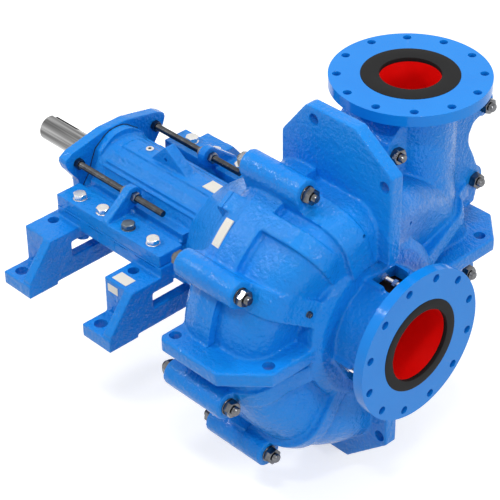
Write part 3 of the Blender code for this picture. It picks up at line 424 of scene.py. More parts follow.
def machined(name, hex_colour, darker, roughness, ridge_mm, stretch=(1.0, 1.0, 1.0), contrast=1.0):
    """Turned or ground steel: fine marks that stretch the highlight along the cut, and two colours mixed by a
    noise that, stretched and with a high contrast, paints light and dark reflection streaks along the piece.
    """
    material, tree, shader = new_finish(name, hex_colour, Roughness=roughness, Metallic=1.0)
    place = add_node(tree, "ShaderNodeTexCoord").outputs["Object"]
    marks = add_node(tree, "ShaderNodeTexWave", {"Vector": place, "Scale": per_mm(ridge_mm * 6.0),
                                                 "Distortion": 1.5, "Detail": 2.0}, bands_direction="X")
    # Two colours mixed by a noise: stretched on the shaft, light and dark streaks that are painted reflection
    # bands; on the other steels a random tone.
    stretched_place = add_node(tree, "ShaderNodeMapping", {"Vector": place, "Scale": stretch})
    tone_and_painted_streaks = add_node(tree, "ShaderNodeTexNoise", {"Vector": stretched_place.outputs["Vector"], "Scale": per_mm(20.0),
                                                  "Detail": 4.0})
    reach = 0.5 / contrast
    spread = add_node(tree, "ShaderNodeMapRange", {"Value": tone_and_painted_streaks.outputs["Fac"], "From Min": 0.5 - reach,
                                                   "From Max": 0.5 + reach})
    lay_texture(tree, shader, ((marks.outputs["Fac"], 0.02, 0.3),))
    vary_colour(tree, shader, spread.outputs["Result"], hex_colour, darker)
    return material


# On the shaft the light and dark streaks along its length are painted reflection bands.
turned_steel = machined("turned_shaft_steel", "#C0C0C0", "#1E1E1E", 0.2, 1.2, (0.02, 1.0, 1.0), 2.8)
# Dark steel for the keyway's faces: painted shade in the slot, on a rougher milled finish.
milled_steel_painted_shade = machined("milled_keyway_steel_painted_shade", "#3C3C3C", "#1E1E1E", 0.35, 2.0)
zinc_steel = machined("zinc_plated_bolt_steel", "#F2F1EE", "#D9D8D4", 0.26, 2.0)
duller_zinc_steel = machined("duller_zinc_bolt_steel", "#8E979C", "#59646C", 0.3, 2.0)
dark_nut_steel = machined("oiled_black_nut_steel", "#8C8D90", "#2F3134", 0.22, 2.0)
thread_steel = machined("rolled_thread_steel", "#6C6E71", "#26272A", 0.24, 1.5)
rod_nut_steel = machined("bright_rod_nut_steel", "#A6A8AA", "#5E6063", 0.22, 1.5)
race_steel = machined("ground_bearing_steel", "#D4D4D2", "#B6B6B4", 0.12, 1.0)
sleeve_steel = machined("hard_faced_sleeve_steel", "#BFC2C4", "#9EA2A5", 0.18, 0.8)


def moulded(name, hex_colour, other, roughness, grain_mm, depth, gloss=0.5):
    """Rubber and elastomer from a mould: even colour, soft gloss, faint orange peel."""
    material, tree, shader = new_finish(name, hex_colour, Roughness=roughness, Specular_IOR_Level=gloss)
    place = add_node(tree, "ShaderNodeTexCoord").outputs["Object"]
    grain = add_node(tree, "ShaderNodeTexNoise", {"Vector": place, "Scale": per_mm(grain_mm), "Detail": 3.0})
    cloud = add_node(tree, "ShaderNodeTexNoise", {"Vector": place, "Scale": per_mm(70.0), "Detail": 2.0})
    lay_texture(tree, shader, ((grain.outputs["Fac"], depth, 0.4),))
    vary_colour(tree, shader, cloud.outputs["Fac"], hex_colour, other)
    return material


red_elastomer = moulded("red_cast_elastomer", "#F20A06", "#E00503", 0.38, 14.0, 0.5)
black_ring_rubber = moulded("black_nitrile_rubber", "#161617", "#101011", 0.7, 4.0, 0.3, 0.2)
# Near black: painted shade for the inside of the neck's windows, where the bush's back shows.
window_shade_rubber = moulded("bush_back_painted_window_shade", "#120607", "#0A0505", 0.6, 14.0, 0.5, 0.2)
grey_iron = moulded("bare_grey_cast_iron", "#5B5D60", "#45474A", 0.55, 6.0, 1.0)
packing_braid = moulded("braided_packing_fibre", "#A79B7A", "#8B7F60", 0.9, 3.0, 1.2)
plate_metal = moulded("blank_anodised_plate", "#E6E2D6", "#D8D3C6", 0.35, 5.0, 0.1)
gasket_paper = moulded("dark_gasket_paper", "#15181C", "#0E1013", 0.8, 3.0, 0.2)


# Shapes

to_shaft = Matrix.Translation((0.0, 0.0, shaft_height))
to_discharge = Matrix.Translation((discharge_x, discharge_y, shaft_height))
suction_face = Matrix.Translation((suction_face_x, 0.0, shaft_height))
discharge_face = Matrix.Translation((discharge_x, discharge_y, shaft_height + discharge_rise))
turn_to_x = Matrix.Rotation(math.radians(90.0), 4, "Y")
turn_up = Matrix.Rotation(math.radians(-90.0), 4, "Y")


def along_shaft(y=0.0, rise=0.0, x=0.0):
    """Local z runs along the shaft."""
    return Matrix.Translation((x, y, shaft_height + rise)) @ turn_to_x


def radial_frame(angle):
    """Local x runs along the shaft and local y away from it at the angle."""
    c = math.cos(math.radians(angle))
    s = math.sin(math.radians(angle))
    return to_shaft @ Matrix(((1, 0, 0, 0), (0, c, -s, 0), (0, s, c, 0), (0, 0, 0, 1)))


def across_frame(x):
    """Local x is world Y, local y is the height above the shaft, local z is world X."""
    turn = Matrix(((0, 0, 1, 0), (1, 0, 0, 0), (0, 1, 0, 0), (0, 0, 0, 1)))
    return Matrix.Translation((x, 0.0, shaft_height)) @ turn


def polar(angle, radius):
    return radius * math.cos(math.radians(angle)), radius * math.sin(math.radians(angle))


def into(build, part, matrix):
    """Moves a part into place and adds it to a build."""
    bmesh.ops.recalc_face_normals(part, faces=part.faces)
    part.transform(matrix)
    mesh = bpy.data.meshes.new("part")
    part.to_mesh(mesh)
    part.free()
    build.from_mesh(mesh)
    bpy.data.meshes.remove(mesh)


def plain_ring(first, last, inner, outer):
    """A square section between two places on the shaft and two radii."""
    return [(first, inner), (first, outer), (last, outer), (last, inner)]


def oblong(left, right, low, high):
    return [(left, low), (right, low), (right, high), (left, high)]


def add_box(build, x0, x1, y0, y1, z0, z1):
    """A box between two corners; its y values come in either order."""
    part = bmesh.new()
    bmesh.ops.create_cube(part, size=1.0)
    size = Matrix.Diagonal((x1 - x0, abs(y1 - y0), z1 - z0, 1.0))
    middle = Matrix.Translation(((x0 + x1) / 2, (y0 + y1) / 2, (z0 + z1) / 2))
    into(build, part, middle @ size)


def add_round(build, radius, start, end, place, end_radius=None, sides=round_steps):
    """A cylinder or cone along the place's local z."""
    part = bmesh.new()
    top = radius if end_radius is None else end_radius
    bmesh.ops.create_cone(part, cap_ends=True, segments=sides, radius1=radius, radius2=top,
                          depth=end - start)
    into(build, part, place @ Matrix.Translation((0.0, 0.0, (start + end) / 2)))


def join_rows(part, rows):
    """Joins each closed row of points to the next with faces."""
    for here, following in zip(rows, rows[1:]):
        for k in range(len(here)):
            m = (k + 1) % len(here)
            part.faces.new((here[k], here[m], following[m], following[k]))


def close_ends(part, rows):
    part.faces.new(rows[0])
    part.faces.new(rows[-1])


def add_plate(build, outline, thickness, place):
    """A flat outline, thickened both ways from its plane."""
    part = bmesh.new()
    rows = [[part.verts.new((u, v, w)) for u, v in outline] for w in (-thickness / 2, thickness / 2)]
    close_ends(part, rows)
    join_rows(part, rows)
    bmesh.ops.triangulate(part, faces=part.faces)
    into(build, part, place)


def add_saddle(build, outline, width, place, slices=8):
    """A band across the shell whose outline follows the shell's roundness from side to side."""
    part = bmesh.new()
    rows = []
    for k in range(slices + 1):
        across = width * (k / slices - 0.5)
        rows.append([part.verts.new((u, math.sqrt(v * v - across * across), across)) for u, v in outline])
    join_rows(part, rows)
    close_ends(part, rows)
    bmesh.ops.triangulate(part, faces=part.faces)
    into(build, part, place)


def add_ring(build, section, steps=casing_steps, place=to_shaft):
    """Closed sections of x and radius, the same or changing with the angle, round the shaft."""
    part = bmesh.new()
    rings = []
    for step in range(steps):
        angle = 360.0 * step / steps
        points = section(angle) if callable(section) else section
        rings.append([part.verts.new((x, *polar(angle, radius))) for x, radius in points])
    join_rows(part, rings + rings[:1])
    into(build, part, place)


def add_turned(build, profile, steps=round_steps, place=to_shaft):
    """A profile of x and radius that starts and ends near the shaft line, as a solid."""
    part = bmesh.new()
    rings = []
    for x, radius in profile:
        rings.append([part.verts.new((x, *polar(360.0 * step / steps, radius))) for step in range(steps)])
    join_rows(part, rings)
    close_ends(part, rings)
    into(build, part, place)


def to_piece(name, build):
    mesh = bpy.data.meshes.new(name)
    build.to_mesh(mesh)
    build.free()
    piece = bpy.data.objects.new(name, mesh)
    bpy.context.scene.collection.objects.link(piece)
    return piece


def bake(piece):
    """Applies a piece's modifiers to its mesh."""
    bpy.context.view_layer.update()
    graph = bpy.context.evaluated_depsgraph_get()
    mesh = bpy.data.meshes.new_from_object(piece.evaluated_get(graph))
    old = piece.data
    piece.modifiers.clear()
    piece.data = mesh
    bpy.data.meshes.remove(old)


def carve(piece, build, operation="DIFFERENCE"):
    """Cuts a build of separate closed shapes out of a piece, or joins it on."""
    tool = to_piece("tool", build)
    step = piece.modifiers.new("Carve", "BOOLEAN")
    step.operation = operation
    step.solver = "MANIFOLD"
    step.object = tool
    bake(piece)
    bpy.data.objects.remove(tool, do_unlink=True)


sand_mould = bpy.data.textures.new("sand_mould", "CLOUDS")
sand_mould.noise_scale = lump_size
sand_mould.noise_depth = 1


def mould(name, build, grain, rounds, lumps=lump_depth):
    """Casts a build in one piece, with fillets in its corners, edges rounded off and a lumpy skin."""
    piece = to_piece(name, build)
    cast = piece.modifiers.new("Cast", "REMESH")
    cast.mode = "VOXEL"
    cast.voxel_size = grain
    fettle = piece.modifiers.new("Fettle", "SMOOTH")
    fettle.factor = 0.5
    fettle.iterations = rounds
    skin = piece.modifiers.new("Skin", "DISPLACE")
    skin.texture = sand_mould
    skin.texture_coords = "LOCAL"
    skin.strength = lumps
    skin.mid_level = 0.5
    bake(piece)
    return piece


def soften(piece, width, segments=2, angle=30.0):
    """Breaks a machined piece's sharp edges."""
    edge = piece.modifiers.new("Edge", "BEVEL")
    edge.width = width
    edge.segments = segments
    edge.limit_method = "ANGLE"
    edge.angle_limit = math.radians(angle)
    edge.harden_normals = False
    bake(piece)


def cut_box(piece, *corners):
    block = bmesh.new()
    add_box(block, *corners)
    carve(piece, block)


def drill(piece, radius, start, end, place, sides=round_steps):
    """Bores one round hole along the place's local z."""
    hole = bmesh.new()
    add_round(hole, radius, start, end, place, sides=sides)
    carve(piece, hole)


def join_piece(piece, other):
    """Adds another piece's mesh to this one."""
    build = bmesh.new()
    build.from_mesh(piece.data)
    build.from_mesh(other.data)
    build.to_mesh(piece.data)
    build.free()
    bpy.data.objects.remove(other, do_unlink=True)


def fit_out(piece, body, finish, slot, nodes=(), smooth_angle=38.0):
    """Gives a piece its finish, its body and the nodes that it stands for."""
    piece.data.materials.clear()
    piece.data.materials.append(finish)
    piece.data.shade_smooth()
    piece.data.set_sharp_from_angle(angle=math.radians(smooth_angle))
    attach(piece, body)
    if nodes:
        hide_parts(*nodes)
    return piece


def fit_build(name, build, *fitting):
    """Makes a piece of a build and fits it out."""
    return fit_out(to_piece(name, build), *fitting)


def enamel(piece, body, node):
    """Finishes a casting in blue enamel."""
    return fit_out(piece, body, blue_cast_enamel, "blue_paint", [node])


# Casing

def spiral_share(angle):
    """How far round the spiral an angle is: 0 at the tongue, 1 at the discharge side."""
    turned_by = (angle - tongue_angle) % 360.0
    if turned_by <= 360.0 - tongue_angle:
        return turned_by / (360.0 - tongue_angle)
    return 1.0 - (turned_by - (360.0 - tongue_angle)) / tongue_angle


def dome_radius(angle):
    """The spiral's outer radius, which grows from the tongue round to the discharge."""
    return dome_start_radius + dome_growth * spiral_share(angle) ** dome_growth_power


def dome_front(angle):
    """Where the dome's front lies: further out at top and bottom than at the sides."""
    return dome_front_x - dome_front_swing * math.cos(math.radians(2.0 * angle))


def shoulder_radius(angle):
    """The dome's corner, which is rounder at the bottom."""
    share = max(0.0, math.cos(math.radians(angle - dome_corner_angle)))
    return dome_corner + dome_corner_growth * share ** 2


def bend_points(front, radius, corner, shares):
    """Points round a corner, at shares of a quarter turn."""
    points = []
    for share in shares:
        bend = math.radians(90.0 * share)
        points.append((front - corner * (1.0 - math.sin(bend)), radius - corner * (1.0 - math.cos(bend))))
    return points


def cover_section(angle):
    """The front half's wall: outer skin from the split to the neck, then back inside."""
    radius = dome_radius(angle)
    front = dome_front(angle)
    corner = shoulder_radius(angle)
    shares = [k / 24 for k in range(25)]
    skin = [(discharge_x - split_overlap, radius)] + bend_points(front, radius, corner, shares)
    skin.append((front, neck_radius - 0.010))
    inner = corner - casing_wall
    lining = [(front - casing_wall, neck_radius - 0.010)]
    lining += bend_points(front - casing_wall, radius - casing_wall, inner, shares[::-1])
    lining.append((discharge_x - split_overlap, radius - casing_wall))
    return skin + lining


def frame_plate_section(angle):
    """The rear half's wall, a step proud of the front half's."""
    radius = dome_radius(angle)
    corner = dome_corner * 0.5
    rim = radius + rim_step
    inside = radius - casing_wall
    rear_face = discharge_x - liner_half_width - liner_wall - 2.0 * gap
    end = discharge_x + split_overlap
    return [(end, rim), (casing_rear_x + corner * 1.9, rim),
            (casing_rear_x + corner * 0.7, rim - corner * 0.45), (casing_rear_x, rim - corner),
            (casing_rear_x, centre_bore - 0.010), (rear_face, centre_bore - 0.010),
            (rear_face, inside), (end, inside)]


def wall_middle(angle, start_x):
    """Points along the middle of the shell's wall, from start_x round to the neck."""
    radius = dome_radius(angle) - casing_wall / 2
    front = dome_front(angle) - casing_wall / 2
    corner = shoulder_radius(angle) - casing_wall / 2
    return [(start_x, radius), (front - corner, radius),
            (front - corner * 0.3, radius - corner * 0.3), (front, radius - corner),
            (front, collar_radius - collar_root)]


def fin_shapes():
    """Each fin's angle, outer edge as x and radius points, and hole centres."""
    top = [(1.050, 0.250), (1.050, 0.577), (0.890, 0.690), (0.690, 0.690), (0.676, 0.684),
           (0.576, 0.555)]
    near = [(0.975, 0.250), (0.973, 0.458), (0.845, 0.580), (0.595, 0.580), (0.579, 0.565)]
    far = [(0.975, 0.250), (0.974, 0.590), (0.870, 0.695), (0.595, 0.695), (0.579, 0.680)]
    bottom = [(1.063, 0.250), (1.063, 0.470), (0.890, 0.620), (0.640, 0.620), (0.576, 0.550)]
    return (
        (90.0, top, ((0.716, 0.647), (1.018, 0.536))),
        (180.0, near, ((0.612, 0.535), (0.931, 0.434))),
        (0.0, far, ((0.612, 0.650), (0.928, 0.567))),
        (270.0, bottom, ((0.616, 0.570), (1.034, 0.444))),
    )


def bolt_places():
    """Every long bolt's centre as y and height above the shaft."""
    places = [polar(angle, radius) for angle, radius in spiral_bolts]
    return places + [(discharge_y + offset, rise) for offset, rise in neck_bolts]


def arm_outline(angle, radius, rise):
    """An arm from a bolt's boss over the shell's shoulder and in to the neck."""
    front = dome_front(angle) + rise
    shell = dome_radius(angle)
    corner = shoulder_radius(angle) + rise
    end = max(collar_x - 0.002, front)
    shoulder = bend_points(front, shell + rise, corner, [k / 18 for k in range(18, 3, -1)])
    neck = [(end, collar_radius - collar_root), (end, collar_radius - collar_edge)]
    boss = [(boss_front_x + 0.020, max(radius - nut_seat - 0.014, shell + rise)),
            (boss_front_x - arm_end, radius - nut_seat), (boss_front_x - arm_end, radius),
            (casing_rear_x + arm_end, radius)]
    return wall_middle(angle, casing_rear_x + arm_end) + neck + shoulder + boss


def band_outline():
    """The raised band without a bolt, from the rim's height at the split to the collar."""
    shell = dome_radius(band_angle)
    corner = shoulder_radius(band_angle)
    shoulder = []
    for k in range(19):
        share = 1.0 - k / 18
        bend = math.radians(90.0 * share)
        reach = corner + (rim_step - gap) * (1.0 - share) + band_front_rise * share
        shoulder.append((dome_front(band_angle) - corner + reach * math.sin(bend),
                         shell - corner + reach * math.cos(bend)))
    start = discharge_x - 0.020
    end = collar_x - 0.002
    neck = [(end, collar_radius - collar_root), (end, collar_radius - collar_edge)]
    return wall_middle(band_angle, start) + neck + shoulder + [(start, shell + rim_step - gap)]


def border_section(angle):
    """The rim's border carried on over the split, beside the raised band."""
    radius = dome_radius(angle)
    proud = border_angles[0] <= angle <= border_angles[1]
    top = radius + (rim_step if proud else -0.008)
    start = discharge_x - split_overlap
    return [(start, radius - 0.016), (start, top), (border_x, top), (border_x, radius - 0.016)]


def add_casing_extras(build):
    """The fins, bosses, arms and neck webs, which both halves of the casing share."""
    for angle, edge, _ in fin_shapes():
        outline = wall_middle(angle, edge[-1][0]) + edge
        add_plate(build, outline, fin_thickness, radial_frame(angle))
    for y, rise in bolt_places():
        add_round(build, boss_radius, casing_rear_x, boss_front_x, along_shaft(y, rise), sides=48)
    for angle, radius, width, rise in arms:
        add_saddle(build, arm_outline(angle, radius, rise), width, radial_frame(angle))
    for offset, rise in neck_bolts:
        add_box(build, casing_rear_x + 0.012, boss_front_x - 0.020, discharge_y + offset,
                discharge_y + math.copysign(neck_bridge_start, offset),
                shaft_height + rise - neck_bridge_half, shaft_height + rise + neck_bridge_half)
    for web in neck_webs:
        add_plate(build, web, neck_web_width, across_frame(neck_web_x))
    add_round(build, discharge_neck_radius, 0.05, discharge_rise - flange_thickness / 2, to_discharge)
    add_round(build, neck_flare_radius, 0.10, 0.30, to_discharge, discharge_neck_radius)


def finish_half(piece, front):
    """Parts a casing half at the split, turns out the liner's room and drills what both halves share."""
    side = 1 if front else -1
    cut_box(piece, *sorted((discharge_x + side * seam / 2, -2.0 * side)), -1.5, 1.5, -1.5, 1.5)
    end = discharge_x + (liner_half_width + liner_wall + gap) * side
    start = discharge_x - 0.050 * side
    room = bmesh.new()
    add_ring(room, lambda angle: plain_ring(start, end, 0.02, dome_radius(angle) - casing_wall - gap))
    carve(piece, room)
    drill(piece, discharge_bore + liner_wall + gap, 0.0, 0.7, to_discharge)
    holes = bmesh.new()
    for y, rise in bolt_places():
        add_round(holes, casing_bolt_radius + bolt_clearance, 0.5, 0.9, along_shaft(y, rise), sides=32)
    for angle, _, centres in fin_shapes():
        for x, radius in centres:
            place = radial_frame(angle) @ Matrix.Translation((x, radius, 0.0))
            add_round(holes, fin_hole_radius, -fin_thickness, fin_thickness, place, sides=40)
    carve(piece, holes)


def flange_ring(name, place, inner, pocket, thickness=flange_thickness):
    """A drilled flange with its face at local z 0 and the joint ring's pocket turned in it."""
    build = bmesh.new()
    add_ring(build, [(0.0, pocket), (0.0, flange_radius), (-thickness, flange_radius),
                     (-thickness, inner), (-joint_ring_depth, inner), (-joint_ring_depth, pocket)],
             128, place @ turn_up)
    piece = to_piece(name, build)
    holes = bmesh.new()
    for k in range(flange_bolt_count):
        y, rise = polar(flange_turn + 360.0 / flange_bolt_count * k, flange_bolt_circle)
        add_round(holes, flange_hole_radius, -thickness - 0.01, 0.01,
                  place @ Matrix.Translation((y, rise, 0.0)), sides=32)
    carve(piece, holes)
    soften(piece, 0.0014)
    return piece


def make_cover():
    build = bmesh.new()
    add_ring(build, cover_section)
    add_casing_extras(build)
    add_saddle(build, band_outline(), band_width, radial_frame(band_angle))
    add_ring(build, border_section)
    root = dome_front_x - dome_front_swing - casing_wall / 3
    add_ring(build, plain_ring(root, suction_face_x - flange_thickness / 2, neck_bore, neck_radius))
    add_ring(build, [(root + 0.004, neck_bore), (root + 0.004, collar_radius), (collar_x, collar_radius),
                     (collar_x + collar_nose, collar_nose_radius), (collar_x + collar_nose, neck_bore)])
    half = window_length / 2
    reach = neck_radius + 0.005
    for angle in window_angles:
        place = radial_frame(angle) @ Matrix.Translation((window_start_x + half - 0.01, 0.0, 0))
        outline = oblong(-half - window_rim, half - window_rim, reach - window_rim_depth, reach)
        add_plate(build, outline, window_width + 2 * window_rim, place)
    piece = mould("cover_casting", build, coarse_grain, 5)
    finish_half(piece, True)
    drill(piece, neck_bore, 0.840, suction_face_x + 0.01, along_shaft(), 128)
    windows = bmesh.new()
    studs = bmesh.new()
    for angle in window_angles:
        place = radial_frame(angle) @ Matrix.Translation((window_start_x + half, 0.20, 0))
        add_plate(windows, oblong(-half, half, -window_cut, window_cut), window_width, place)
        y, rise = polar(angle, bush_stud_circle)
        add_round(studs, bush_stud_radius + bolt_clearance, window_start_x - 0.040,
                  window_start_x + window_length + 0.025, along_shaft(y, rise), sides=24)
    carve(piece, windows)
    for y, rise in plug_holes:
        add_round(studs, plug_hole_radius, plug_hole_x, 1.1, along_shaft(y, rise), sides=24)
    carve(piece, studs)
    enamel(piece, "frame", "cover_plate")
    ring = flange_ring("suction_flange_ring", suction_face @ turn_to_x, joint_ring_radius - 0.002,
                       joint_ring_radius + gap)
    fit_out(ring, "frame", blue_smooth_enamel, "blue_paint", (), 20.0)


def make_frame_plate():
    build = bmesh.new()
    add_ring(build, frame_plate_section)
    add_casing_extras(build)
    nose = plain_ring(casing_rear_x, casing_rear_x + 0.050, hood_front_radius, nose_radius)
    add_plate(build, nose, band_width, radial_frame(band_angle))
    piece = mould("frame_plate_casting", build, coarse_grain, 5)
    finish_half(piece, False)
    drill(piece, centre_bore + gap, 0.5, 0.7, along_shaft())
    enamel(piece, "frame", "frame_plate")


def make_discharge_flange():
    piece = flange_ring("discharge_flange_ring", discharge_face, discharge_bore + liner_wall + gap,
                        joint_ring_radius + gap)
    fit_out(piece, "frame", blue_smooth_enamel, "blue_paint", ["discharge_flange"], 20.0)


def make_joint_rings():
    """The rubber rings let into the two flange faces, proud of them."""
    low = -joint_ring_depth + gap
    faces = (("suction", suction_bore, suction_face), ("discharge", discharge_bore, discharge_face @ turn_up))
    for name, bore, place in faces:
        build = bmesh.new()
        add_ring(build, plain_ring(low, joint_ring_proud, bore, joint_ring_radius), 128, place)
        piece = to_piece(f"{name}_ring_rubber", build)
        soften(piece, 0.0012, 3)
        fit_out(piece, "frame", black_ring_rubber, "black_rubber", [f"{name}_joint_ring"])


def liner_radius(angle):
    return dome_radius(angle) - casing_wall - liner_clearance


def liner_section(angle):
    """The spiral liner's channel, open towards the impeller."""
    radius = liner_radius(angle)
    rear = discharge_x - liner_half_width
    front = discharge_x + liner_half_width
    return [(rear - liner_wall, liner_eye), (rear - liner_wall, radius), (front + liner_wall, radius),
            (front + liner_wall, liner_eye), (front, liner_eye), (front, radius - liner_wall),
            (rear, radius - liner_wall), (rear, liner_eye)]


def liner_room_section(angle):
    return plain_ring(discharge_x - liner_half_width + gap, discharge_x + liner_half_width - gap, 0.05,
                      liner_radius(angle) - liner_wall - gap)


def make_ring_piece(name, section, body, finish, slot, edge, nodes=()):
    """A turned ring with its edges broken."""
    build = bmesh.new()
    add_ring(build, section, round_steps)
    piece = to_piece(name, build)
    if edge > 0.0:
        soften(piece, edge)
    return fit_out(piece, body, finish, slot, nodes, 28.0)


def make_liners():
    """The spiral liner with its outlet, the disc at the back and the bush in the neck."""
    build = bmesh.new()
    add_ring(build, liner_section)
    piece = to_piece("volute_liner_cast", build)
    pipe_end = discharge_rise - joint_ring_depth
    pipe = bmesh.new()
    add_round(pipe, discharge_bore + liner_wall, 0.06, pipe_end, to_discharge)
    carve(piece, pipe, "UNION")
    drill(piece, discharge_bore, 0.03, pipe_end + 0.01, to_discharge)
    room = bmesh.new()
    add_ring(room, liner_room_section)
    carve(piece, room)
    fit_out(piece, "frame", red_elastomer, "red_liner", ["volute_liner"])
    rear = discharge_x - liner_half_width - liner_wall
    face = discharge_x - liner_half_width
    make_ring_piece("frame_plate_liner_disc", plain_ring(rear, face, liner_disc_bore, liner_eye - gap),
                    "frame", red_elastomer, "red_liner", 0.002, nodes=["frame_plate_liner"])
    face = discharge_x + liner_half_width
    back = face + liner_wall
    seat = suction_face_x - joint_ring_depth
    make_ring_piece("throat_bush_lining", [
        (face, suction_bore), (face, liner_eye - gap), (back, liner_eye - gap),
        (back, suction_bore + bush_skin), (seat, suction_bore + bush_skin), (seat, suction_bore)],
        "frame", red_elastomer, "red_liner", 0.0, nodes=["throat_bush"])
    # The bush's back shows in the neck's windows; its near black is painted shade there.
    make_ring_piece("throat_bush_back", [
        (back, suction_bore + bush_skin), (back, neck_bore - 0.003),
        (suction_face_x - neck_lip - gap, neck_bore - 0.003),
        (suction_face_x - neck_lip - gap, joint_ring_radius - 0.0045),
        (seat, joint_ring_radius - 0.0045), (seat, suction_bore + bush_skin)],
        "frame", window_shade_rubber, "red_liner", 0.0)


# Fasteners

def upright_at(x, y, z=0.0):
    """Local x points up, for turned shapes that stand."""
    return Matrix.Translation((x, y, z)) @ turn_up


def beside_shaft(y, rise):
    """Local x runs along the shaft, at this place beside it."""
    return Matrix.Translation((0.0, y, shaft_height + rise))


def thread_profile(start, end, radius, pitch):
    """Ridges along a rod as places along it with their radius."""
    root = radius - pitch * 0.5
    points = [(start, root - pitch * 0.4)]
    for k in range(int((end - start) / pitch)):
        points.append((start + pitch * (k + 0.3), root))
        points.append((start + pitch * (k + 0.7), radius))
    points.append((end, root - pitch * 0.4))
    return points


def hex_blank(flats, height, washer=0.0, bore=0.0):
    """A chamfered hexagon on local z from 0, on a washer if one is given, as a mesh."""
    corner = flats / math.sqrt(3.0)
    face = flats * 0.475
    cut = (corner - face) * math.tan(math.radians(30.0))
    top = washer + height
    blank = bmesh.new()
    add_round(blank, corner, washer, top, Matrix(), sides=6)
    piece = to_piece("hexagon", blank)
    crown = bmesh.new()
    add_turned(crown, [(washer, face), (washer + cut, corner + 0.0005), (top - cut, corner + 0.0005),
                       (top, face)], 60, turn_up)
    carve(piece, crown, "INTERSECT")
    if bore > 0.0:
        drill(piece, bore, -0.01, top + 0.01, Matrix(), 40)
    if washer > 0.0:
        rim = flats * 0.58
        build = bmesh.new()
        add_turned(build, [(0.0, rim), (washer - 0.001, rim), (washer - 0.0002, flats * 0.56)], 48, turn_up)
        join_piece(piece, to_piece("washer", build))
    mesh = piece.data
    bpy.data.objects.remove(piece, do_unlink=True)
    return mesh


def add_copy(build, mesh, place):
    part = bmesh.new()
    part.from_mesh(mesh)
    into(build, part, place)


def turned_about(place, degrees):
    return place @ Matrix.Rotation(math.radians(degrees), 4, "Z")


def make_casing_bolts():
    """Studs through the bosses with a nut and washer at each end, and the small screw in the near arm."""
    nut = hex_blank(casing_nut_flats, casing_nut_height, washer_thickness)
    flip = Matrix.Rotation(math.radians(180.0), 4, "X")
    start = casing_rear_x - gap
    end = boss_front_x + gap
    reach = casing_nut_height + stud_reach
    shank = casing_bolt_radius - 0.002
    for number, (y, rise) in enumerate(bolt_places(), 1):
        build = bmesh.new()
        line = beside_shaft(y, rise)
        for low, high in ((end - 0.010, end + reach), (start - reach, start + 0.010)):
            add_turned(build, thread_profile(low, high, casing_bolt_radius, casing_pitch), 40, line)
        add_turned(build, [(start, shank), (end, shank)], 24, line)
        turn = nut_turn * number
        add_copy(build, nut, turned_about(along_shaft(y, rise, end), turn))
        add_copy(build, nut, turned_about(along_shaft(y, rise, start), turn * 2.0) @ flip)
        fit_build(f"casing_stud_{number}", build, "frame", dark_nut_steel, "dark_steel",
                  [f"casing_bolt_{number}"], 25.0)
    y, rise = polar(arms[1][0], arm_screw_radius)
    build = bmesh.new()
    add_copy(build, hex_blank(0.020, 0.008, 0.002), along_shaft(y, rise, arm_screw_x - 0.001))
    add_turned(build, [(arm_screw_x - 0.012, 0.006), (arm_screw_x + 0.012, 0.006),
                       (arm_screw_x + 0.013, 0.005)], 24, beside_shaft(y, rise))
    fit_build("arm_screw", build, "frame", dark_nut_steel, "dark_steel", (), 25.0)


def make_bush_studs():
    """The studs in the neck's windows, with a nut at each end."""
    nut = hex_blank(bush_nut_flats, 0.014)
    for number, angle in enumerate(window_angles, 1):
        y, rise = polar(angle, bush_stud_circle)
        build = bmesh.new()
        add_turned(build, thread_profile(window_start_x - 0.030, window_start_x + window_length + 0.020,
                                         bush_stud_radius, 0.002), 32, beside_shaft(y, rise))
        for x in (gap, 0.046):
            add_copy(build, nut, along_shaft(y, rise, window_start_x + x))
        fit_build(f"bush_stud_{number}_threaded", build, "frame", zinc_steel, "dark_steel",
                  [f"bush_stud_{number}"], 25.0)


def make_clamp_bolts():
    """Bright heads on the clamp bars, one of them duller than the rest."""
    head = hex_blank(clamp_head_flats, clamp_head_height, clamp_washer)
    top = bar_bottom + bar_thickness + gap
    for side, name in hands:
        for number, x in enumerate(clamp_bolt_xs, 1):
            build = bmesh.new()
            place = Matrix.Translation((x, side * clamp_bolt_y, top))
            add_copy(build, head, turned_about(place, nut_turn * (number + side)))
            add_turned(build, [(rail_bottom + 0.006, clamp_bolt_radius), (top + 0.006, clamp_bolt_radius)],
                       32, upright_at(x, side * clamp_bolt_y))
            # One head, the third on the left bar, is given a darker, duller steel than the rest.
            dull = name == "left" and number == 3
            fit_build(f"clamp_screw_{name}_{number}", build, "frame", duller_zinc_steel if dull else zinc_steel,
                      "dark_steel", [f"clamp_bolt_{name}_{number}"], 25.0)


def make_adjusting_gear():
    """The threaded rods, fixed in the end plate, and the nuts that set them at the ears."""
    nut = hex_blank(rod_nut_flats, rod_nut_height)
    open_nut = hex_blank(rod_nut_flats, rod_nut_height, bore=rod_radius + gap + 0.0004)
    plate_rear = housing_rear_x - end_plate_thickness
    ear_rear = ear_front_x - ear_thickness
    for side, name in hands:
        y = side * rod_y
        build = bmesh.new()
        add_turned(build, thread_profile(plate_rear - rod_tail, rod_front_x, rod_radius, rod_pitch), 32,
                   beside_shaft(y, rod_rise))
        for x in (plate_rear - gap - rod_nut_height, housing_rear_x + gap):
            add_copy(build, nut, along_shaft(y, rod_rise, x))
        fit_build(f"adjusting_screw_{name}", build, "cartridge", thread_steel, "dark_steel",
                  [f"adjusting_rod_{name}"], 25.0)
        for end, start in (("front", ear_front_x + gap), ("rear", ear_rear - gap - rod_nut_height)):
            build = bmesh.new()
            add_copy(build, open_nut, along_shaft(y, rod_rise, start))
            node = f"adjusting_nut_{name}_{end}"
            fit_build(f"rod_nut_{name}_{end}", build, node, rod_nut_steel, "dark_steel", [node], 25.0)


# Base frame and clamp bars

